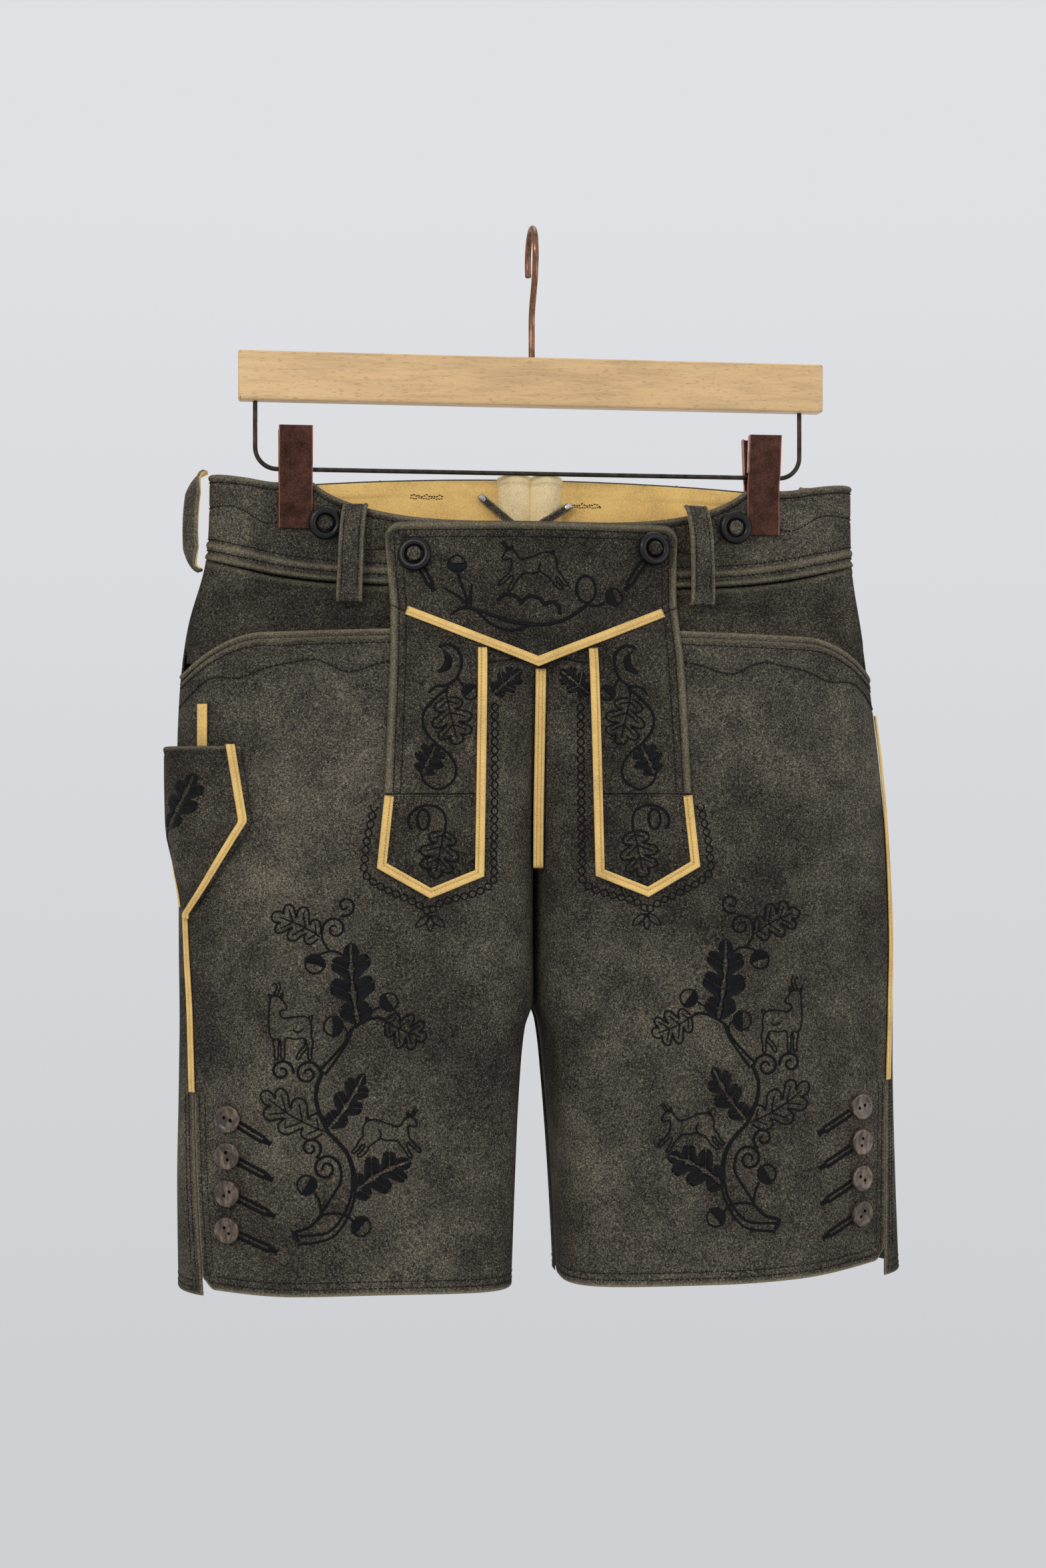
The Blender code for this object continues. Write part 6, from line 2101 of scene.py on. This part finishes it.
def embroider_braids():
    """Two thin lines that twist round each other beside the strips, ending in three loops."""
    low = (TIP_POINT[0], TIP_POINT[1] - 9.0)
    near, far = TIP_INNER[0] - BRAID_APART, TIP_OUTER[0] + BRAID_APART
    routes = (((27.5, -312.0), (near, -404.0), (near + 3.0, TIP_INNER[1] - 7.0), (62.0, -438.5), low),
              (low, (79.0, -438.5), (far - 3.0, TIP_OUTER[1] - 7.0), (far, -408.0), (104.5, -377.0)))
    for side, word in WORDS.items():
        sewing = Sewing(on_front)
        for route in routes:
            path = curve([(FLAP_X + side * x, z) for x, z in route], 0.9)
            across = square_to(unit(np.gradient(path, axis=0)))
            for turn in (0.0, math.pi):
                swing = BRAID_SWING * np.sin(2.0 * math.pi * run_along(path) / BRAID_WAVE + turn)
                sewing.line(path + across * swing[:, None], 0.5, 1.7, -0.4)
        middle = np.array([FLAP_X + side * TIP_POINT[0], TIP_POINT[1] - 10.5])
        for lean, long in ((-52.0, 12.0), (0.0, 10.5), (52.0, 12.0)):
            turn = math.radians(270.0 + lean)
            way = np.array([math.cos(turn), math.sin(turn)])
            half, aside = middle + way * 0.5 * long, square_to(way) * 2.3
            sewing.line(curve([middle, half + aside, middle + way * long, half - aside], 0.8, True),
                        0.5, 1.6, -0.4)
        filled_leaf(sewing, (side * 31.0, -306.0), (side * 13.0, -291.0), 17.0, 0.0)
        sewing.piece(f"braid_{word}_embroidery", thread())


# ================================================================ stage
FLOOR_LEVEL, FLOOR_RADIUS = -1300.0, 1100.0
CAMERA_PLACE, CAMERA_TURN = (-193.18, -1423.56, -363.63), -7.5


def light(name, place, aim, size, power, colour):
    data = bpy.data.lights.new(name, "AREA")
    data.shape = "DISK"
    data.size = size
    data.energy = power
    data.color = colour
    lamp = bpy.data.objects.new(name, data)
    lamp.location = Vector(place)
    lamp.rotation_euler = (Vector(aim) - Vector(place)).to_track_quat("-Z", "Y").to_euler()
    bpy.context.scene.collection.objects.link(lamp)


def set_stage():
    """Pale floor far below, a pale surround, three soft lights and the camera."""
    look = bpy.context.scene.lederhosen_stage
    fresh()
    bpy.ops.mesh.primitive_cylinder_add(vertices=96, radius=FLOOR_RADIUS * MM, depth=20.0 * MM,
                                        location=(0.0, 0.0, (FLOOR_LEVEL - 10.0) * MM))
    floor_finish = Finish("floor", 0.85)
    paint = floor_finish.noise(3.0, 2.0, 0.5)
    floor_finish.colour(floor_finish.ramp(paint, (0.3, tinted(look.floor, 0.97)), (0.7, tuple(look.floor))))
    floor = start("floor", floor_finish.material)
    pick(floor, "EDGE", lambda edge: radius_of(edge) > 0.9 * FLOOR_RADIUS
         and edge.verts[0].co.z * edge.verts[1].co.z > 0.0)
    bpy.ops.mesh.bevel(offset=3.0 * MM, segments=3, affect="EDGES")
    settle(floor, 30.0)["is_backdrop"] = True

    world = bpy.data.worlds.new("surround")
    bpy.context.scene.world = world
    world.use_nodes = True
    nodes, links = world.node_tree.nodes, world.node_tree.links
    sky = nodes["Background"]
    place, split, shift_up, fade = (nodes.new(f"ShaderNode{kind}") for kind in (
        "TexCoord", "SeparateXYZ", "Math", "ValToRGB"))
    shift_up.operation = "MULTIPLY_ADD"
    shift_up.inputs[1].default_value = 1.0
    shift_up.inputs[2].default_value = 0.5
    for source, socket in ((place.outputs["Generated"], split.inputs[0]),
                           (split.outputs[2], shift_up.inputs[0]),
                           (shift_up.outputs[0], fade.inputs[0]),
                           (fade.outputs[0], sky.inputs["Color"])):
        links.new(source, socket)
    marks = fade.color_ramp.elements
    marks[0].position, marks[0].color = 0.25, (*tinted(look.surround, 0.84), 1.0)
    marks[1].position, marks[1].color = 0.75, (*look.surround, 1.0)
    sky.inputs["Strength"].default_value = look.surround_strength

    light("key", (-1.15, -1.75, 0.75), (0.0, 0.0, -0.38), 0.7, look.key_power, (1.0, 0.98, 0.95))
    light("fill", (1.7, -1.4, -0.2), (0.0, 0.0, -0.4), 1.3, look.fill_power, (0.95, 0.98, 1.0))
    light("top", (0.2, 0.5, 1.3), (0.0, 0.0, -0.3), 0.9, look.top_power, (1.0, 1.0, 1.0))
    light("back", (0.6, 1.9, 0.1), (0.0, 0.0, -0.4), 1.4, look.back_power, (1.0, 1.0, 1.0))

    lens = bpy.data.cameras.new("camera")
    lens.lens = look.lens
    camera = bpy.data.objects.new("camera", lens)
    camera.location = Vector(CAMERA_PLACE) * MM
    camera.rotation_euler = (math.pi / 2.0, 0.0, math.radians(CAMERA_TURN))
    bpy.context.scene.collection.objects.link(camera)
    bpy.context.scene.camera = camera
    bpy.context.scene.view_settings.view_transform = "Standard"


# ================================================================ what a user may change
def colour_choice(name, description, default):
    return bpy.props.FloatVectorProperty(name=name, description=description, default=default,
                                         subtype="COLOR", size=3, min=0.0, max=1.0)


def power_choice(name, description, default):
    return bpy.props.FloatProperty(name=name, description=description, default=default,
                                   min=0.0, max=500.0, unit="POWER")


class LeatherChoices(bpy.types.PropertyGroup):
    low: colour_choice("Nap shadow", "Colour between the hairs of the suede", (0.0072, 0.0065, 0.0057))
    ground: colour_choice("Suede", "Main colour of the suede", (0.046, 0.041, 0.033))
    high: colour_choice("Nap tips", "Colour of the suede's raised hairs", (0.138, 0.120, 0.088))
    # The rubbed colour is also the painted highlight on the crests of rolled edges and raised rolls.
    rubbed: colour_choice("Rubbed nap", "Colour where folds and edges are rubbed", (0.33, 0.28, 0.18))
    chamois: colour_choice("Chamois", "Colour of the pipings and the facing", (0.82, 0.54, 0.19))
    pale_chamois: colour_choice("Gusset", "Colour of the pale pleats at the back", (0.88, 0.70, 0.40))


class ThreadChoices(bpy.types.PropertyGroup):
    embroidery: colour_choice("Embroidery", "Colour of the embroidery thread", (0.0032, 0.0034, 0.0046))
    seams: colour_choice("Seams", "Colour of the seam thread", (0.0075, 0.007, 0.0062))
    piping: colour_choice("Piping seams", "Colour of the thread on the pipings", (0.36, 0.20, 0.055))
    satin_pitch: bpy.props.FloatProperty(
        name="Satin pitch", description="Distance between the threads of satin stitch",
        default=0.00056, min=0.0004, max=0.001, unit="LENGTH")
    stitch_length: bpy.props.FloatProperty(
        name="Stitch length", description="Length of a seam's stitches", default=0.0023,
        min=0.0015, max=0.004, unit="LENGTH")


class HardwareChoices(bpy.types.PropertyGroup):
    horn: colour_choice("Horn", "Colour of the ring buttons", (0.0045, 0.0045, 0.005))
    staghorn_pale: colour_choice("Staghorn, pale", "Pale mottling of the hem buttons", (0.125, 0.082, 0.050))
    staghorn_dark: colour_choice("Staghorn, dark", "Dark mottling of the hem buttons", (0.034, 0.020, 0.012))
    beech: colour_choice("Beech", "Colour of the hanger's bar", (0.70, 0.46, 0.22))
    copper: colour_choice("Hook", "Colour of the hook's wire", (0.30, 0.145, 0.085))
    old_copper: colour_choice("Clips", "Colour of the clips' plates", (0.072, 0.030, 0.020))
    bronze: colour_choice("Frame", "Colour of the wire below the bar", (0.060, 0.052, 0.042))


class StageChoices(bpy.types.PropertyGroup):
    floor: colour_choice("Floor", "Colour of the floor", (0.72, 0.72, 0.73))
    surround: colour_choice("Surround", "Colour of the surround", (0.74, 0.75, 0.78))
    surround_strength: bpy.props.FloatProperty(name="Surround", description="Light from the surround",
                                               default=1.0, min=0.0, max=3.0)
    key_power: power_choice("Key", "Power of the upper left light", 13.0)
    fill_power: power_choice("Fill", "Power of the right light", 5.5)
    top_power: power_choice("Top", "Power of the light above", 4.0)
    back_power: power_choice("Back", "Power of the light behind", 6.0)
    lens: bpy.props.FloatProperty(name="Lens", description="Focal length of the camera", default=50.0,
                                  min=20.0, max=200.0, unit="CAMERA")


CHOICES = {"leather": LeatherChoices, "thread": ThreadChoices, "hardware": HardwareChoices,
           "stage": StageChoices}


# ================================================================ operators
class LEDERHOSEN_OT_fronts(bpy.types.Operator):
    """The two fronts, with rolled pocket mouths, sunk seams and turned hems"""
    bl_idname = "lederhosen.fronts"
    bl_label = "Fronts of the legs"

    def execute(self, context):
        add_fronts()
        return {"FINISHED"}


class LEDERHOSEN_OT_backs(bpy.types.Operator):
    """The two backs, from the waistband to the hem"""
    bl_idname = "lederhosen.backs"
    bl_label = "Backs of the legs"

    def execute(self, context):
        add_backs()
        return {"FINISHED"}


class LEDERHOSEN_OT_hips(bpy.types.Operator):
    """The hip pieces behind the pocket mouths"""
    bl_idname = "lederhosen.hips"
    bl_label = "Hips"

    def execute(self, context):
        add_hips()
        return {"FINISHED"}


class LEDERHOSEN_OT_waistband(bpy.types.Operator):
    """The waistband's two halves and the chamois facing inside them"""
    bl_idname = "lederhosen.waistband"
    bl_label = "Waistband"

    def execute(self, context):
        add_bands()
        return {"FINISHED"}


class LEDERHOSEN_OT_gusset(bpy.types.Operator):
    """The two pale pleats at the back of the waist"""
    bl_idname = "lederhosen.gusset"
    bl_label = "Gusset"

    def execute(self, context):
        add_gusset()
        return {"FINISHED"}


class LEDERHOSEN_OT_lace(bpy.types.Operator):
    """The gusset's thong with its metal tips"""
    bl_idname = "lederhosen.lace"
    bl_label = "Lace"

    def execute(self, context):
        add_lace()
        add_lace_tips()
        return {"FINISHED"}


class LEDERHOSEN_OT_flap(bpy.types.Operator):
    """The front flap: its top, strips and pointed tips"""
    bl_idname = "lederhosen.flap"
    bl_label = "Flap"

    def execute(self, context):
        add_flap()
        return {"FINISHED"}


class LEDERHOSEN_OT_pipings(bpy.types.Operator):
    """The yellow pipings of the flap, the centre seam and the side seams"""
    bl_idname = "lederhosen.pipings"
    bl_label = "Pipings"

    def execute(self, context):
        add_flap_pipings()
        add_body_pipings()
        return {"FINISHED"}


class LEDERHOSEN_OT_knife_pocket(bpy.types.Operator):
    """The sheath pocket on the left leg, its piping and its strap"""
    bl_idname = "lederhosen.knife_pocket"
    bl_label = "Knife pocket"

    def execute(self, context):
        add_knife_pocket()
        return {"FINISHED"}


class LEDERHOSEN_OT_belt_loops(bpy.types.Operator):
    """Six belt loops, standing off the waistband"""
    bl_idname = "lederhosen.belt_loops"
    bl_label = "Belt loops"

    def execute(self, context):
        add_belt_loops()
        return {"FINISHED"}


class LEDERHOSEN_OT_ring_buttons(bpy.types.Operator):
    """Horn rings held by leather knots, on the flap and for the braces"""
    bl_idname = "lederhosen.ring_buttons"
    bl_label = "Ring buttons"

    def execute(self, context):
        add_ring_buttons()
        return {"FINISHED"}


class LEDERHOSEN_OT_hem_buttons(bpy.types.Operator):
    """Four staghorn buttons beside each side slit"""
    bl_idname = "lederhosen.hem_buttons"
    bl_label = "Hem buttons"

    def execute(self, context):
        add_hem_buttons()
        return {"FINISHED"}


class LEDERHOSEN_OT_seams(bpy.types.Operator):
    """The stitches of the seams on the leather and the pipings"""
    bl_idname = "lederhosen.seams"
    bl_label = "Seams"

    def execute(self, context):
        sew_seams()
        return {"FINISHED"}


class LEDERHOSEN_OT_buttonholes(bpy.types.Operator):
    """Satin-stitched buttonholes on the flap and beside the slits"""
    bl_idname = "lederhosen.buttonholes"
    bl_label = "Buttonholes"

    def execute(self, context):
        sew_buttonholes()
        return {"FINISHED"}


class LEDERHOSEN_OT_leg_embroidery(bpy.types.Operator):
    """Oak leaves, acorns, scrolls and chamois on both legs, and a leaf on the knife pocket"""
    bl_idname = "lederhosen.leg_embroidery"
    bl_label = "Leg embroidery"

    def execute(self, context):
        embroider_legs()
        embroider_pocket()
        return {"FINISHED"}


class LEDERHOSEN_OT_flap_embroidery(bpy.types.Operator):
    """The leaping chamois, thistle and vines on the flap"""
    bl_idname = "lederhosen.flap_embroidery"
    bl_label = "Flap embroidery"

    def execute(self, context):
        embroider_flap()
        return {"FINISHED"}


class LEDERHOSEN_OT_braids(bpy.types.Operator):
    """The twisted braid round the strips, with a loop under each tip"""
    bl_idname = "lederhosen.braids"
    bl_label = "Braids"

    def execute(self, context):
        embroider_braids()
        return {"FINISHED"}


class LEDERHOSEN_OT_bar(bpy.types.Operator):
    """The hanger's beech bar"""
    bl_idname = "lederhosen.bar"
    bl_label = "Hanger bar"

    def execute(self, context):
        add_bar()
        return {"FINISHED"}


class LEDERHOSEN_OT_hook(bpy.types.Operator):
    """The hanger's copper hook"""
    bl_idname = "lederhosen.hook"
    bl_label = "Hanger hook"

    def execute(self, context):
        add_hook()
        return {"FINISHED"}


class LEDERHOSEN_OT_frame(bpy.types.Operator):
    """The bronze wire below the bar"""
    bl_idname = "lederhosen.frame"
    bl_label = "Hanger frame"

    def execute(self, context):
        add_frame()
        return {"FINISHED"}


class LEDERHOSEN_OT_clips(bpy.types.Operator):
    """The two clips that hold the waist"""
    bl_idname = "lederhosen.clips"
    bl_label = "Clips"

    def execute(self, context):
        add_clips()
        return {"FINISHED"}


class LEDERHOSEN_OT_stage(bpy.types.Operator):
    """The floor, the surround, the lights and the camera"""
    bl_idname = "lederhosen.stage"
    bl_label = "Stage"

    def execute(self, context):
        set_stage()
        return {"FINISHED"}


class LEDERHOSEN_PT_sidebar(bpy.types.Panel):
    """Every step of the lederhosen, in the order in which they are made"""
    bl_label = "Lederhosen"
    bl_idname = "LEDERHOSEN_PT_sidebar"
    bl_space_type = "VIEW_3D"
    bl_region_type = "UI"
    bl_category = "Lederhosen"

    def draw(self, context):
        layout = self.layout
        for step in STEPS:
            layout.operator(step.bl_idname)
        for word, group in CHOICES.items():
            box = layout.box()
            box.label(text=word.title())
            for choice in group.__annotations__:
                box.prop(getattr(context.scene, f"lederhosen_{word}"), choice)


STEPS = (
    LEDERHOSEN_OT_fronts,
    LEDERHOSEN_OT_backs,
    LEDERHOSEN_OT_hips,
    LEDERHOSEN_OT_waistband,
    LEDERHOSEN_OT_gusset,
    LEDERHOSEN_OT_lace,
    LEDERHOSEN_OT_flap,
    LEDERHOSEN_OT_pipings,
    LEDERHOSEN_OT_knife_pocket,
    LEDERHOSEN_OT_belt_loops,
    LEDERHOSEN_OT_ring_buttons,
    LEDERHOSEN_OT_hem_buttons,
    LEDERHOSEN_OT_seams,
    LEDERHOSEN_OT_buttonholes,
    LEDERHOSEN_OT_leg_embroidery,
    LEDERHOSEN_OT_flap_embroidery,
    LEDERHOSEN_OT_braids,
    LEDERHOSEN_OT_bar,
    LEDERHOSEN_OT_hook,
    LEDERHOSEN_OT_frame,
    LEDERHOSEN_OT_clips,
    LEDERHOSEN_OT_stage,
)


def register():
    for made in (*CHOICES.values(), *STEPS, LEDERHOSEN_PT_sidebar):
        bpy.utils.register_class(made)
    for word, group in CHOICES.items():
        setattr(bpy.types.Scene, f"lederhosen_{word}", bpy.props.PointerProperty(type=group))


def unregister():
    for word in CHOICES:
        delattr(bpy.types.Scene, f"lederhosen_{word}")
    for made in reversed((*CHOICES.values(), *STEPS, LEDERHOSEN_PT_sidebar)):
        bpy.utils.unregister_class(made)


def main():
    register()
    for step in STEPS:
        made = getattr(bpy.ops.lederhosen, step.bl_idname.split(".")[1])()
        if made != {"FINISHED"}:
            raise RuntimeError(f"{step.bl_label} was not made")
    boxes = {"before": cad_box, "after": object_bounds()}
    sizes = {when: [list(corner) for corner in box] for when, box in boxes.items()}


if __name__ == "__main__":
    main()
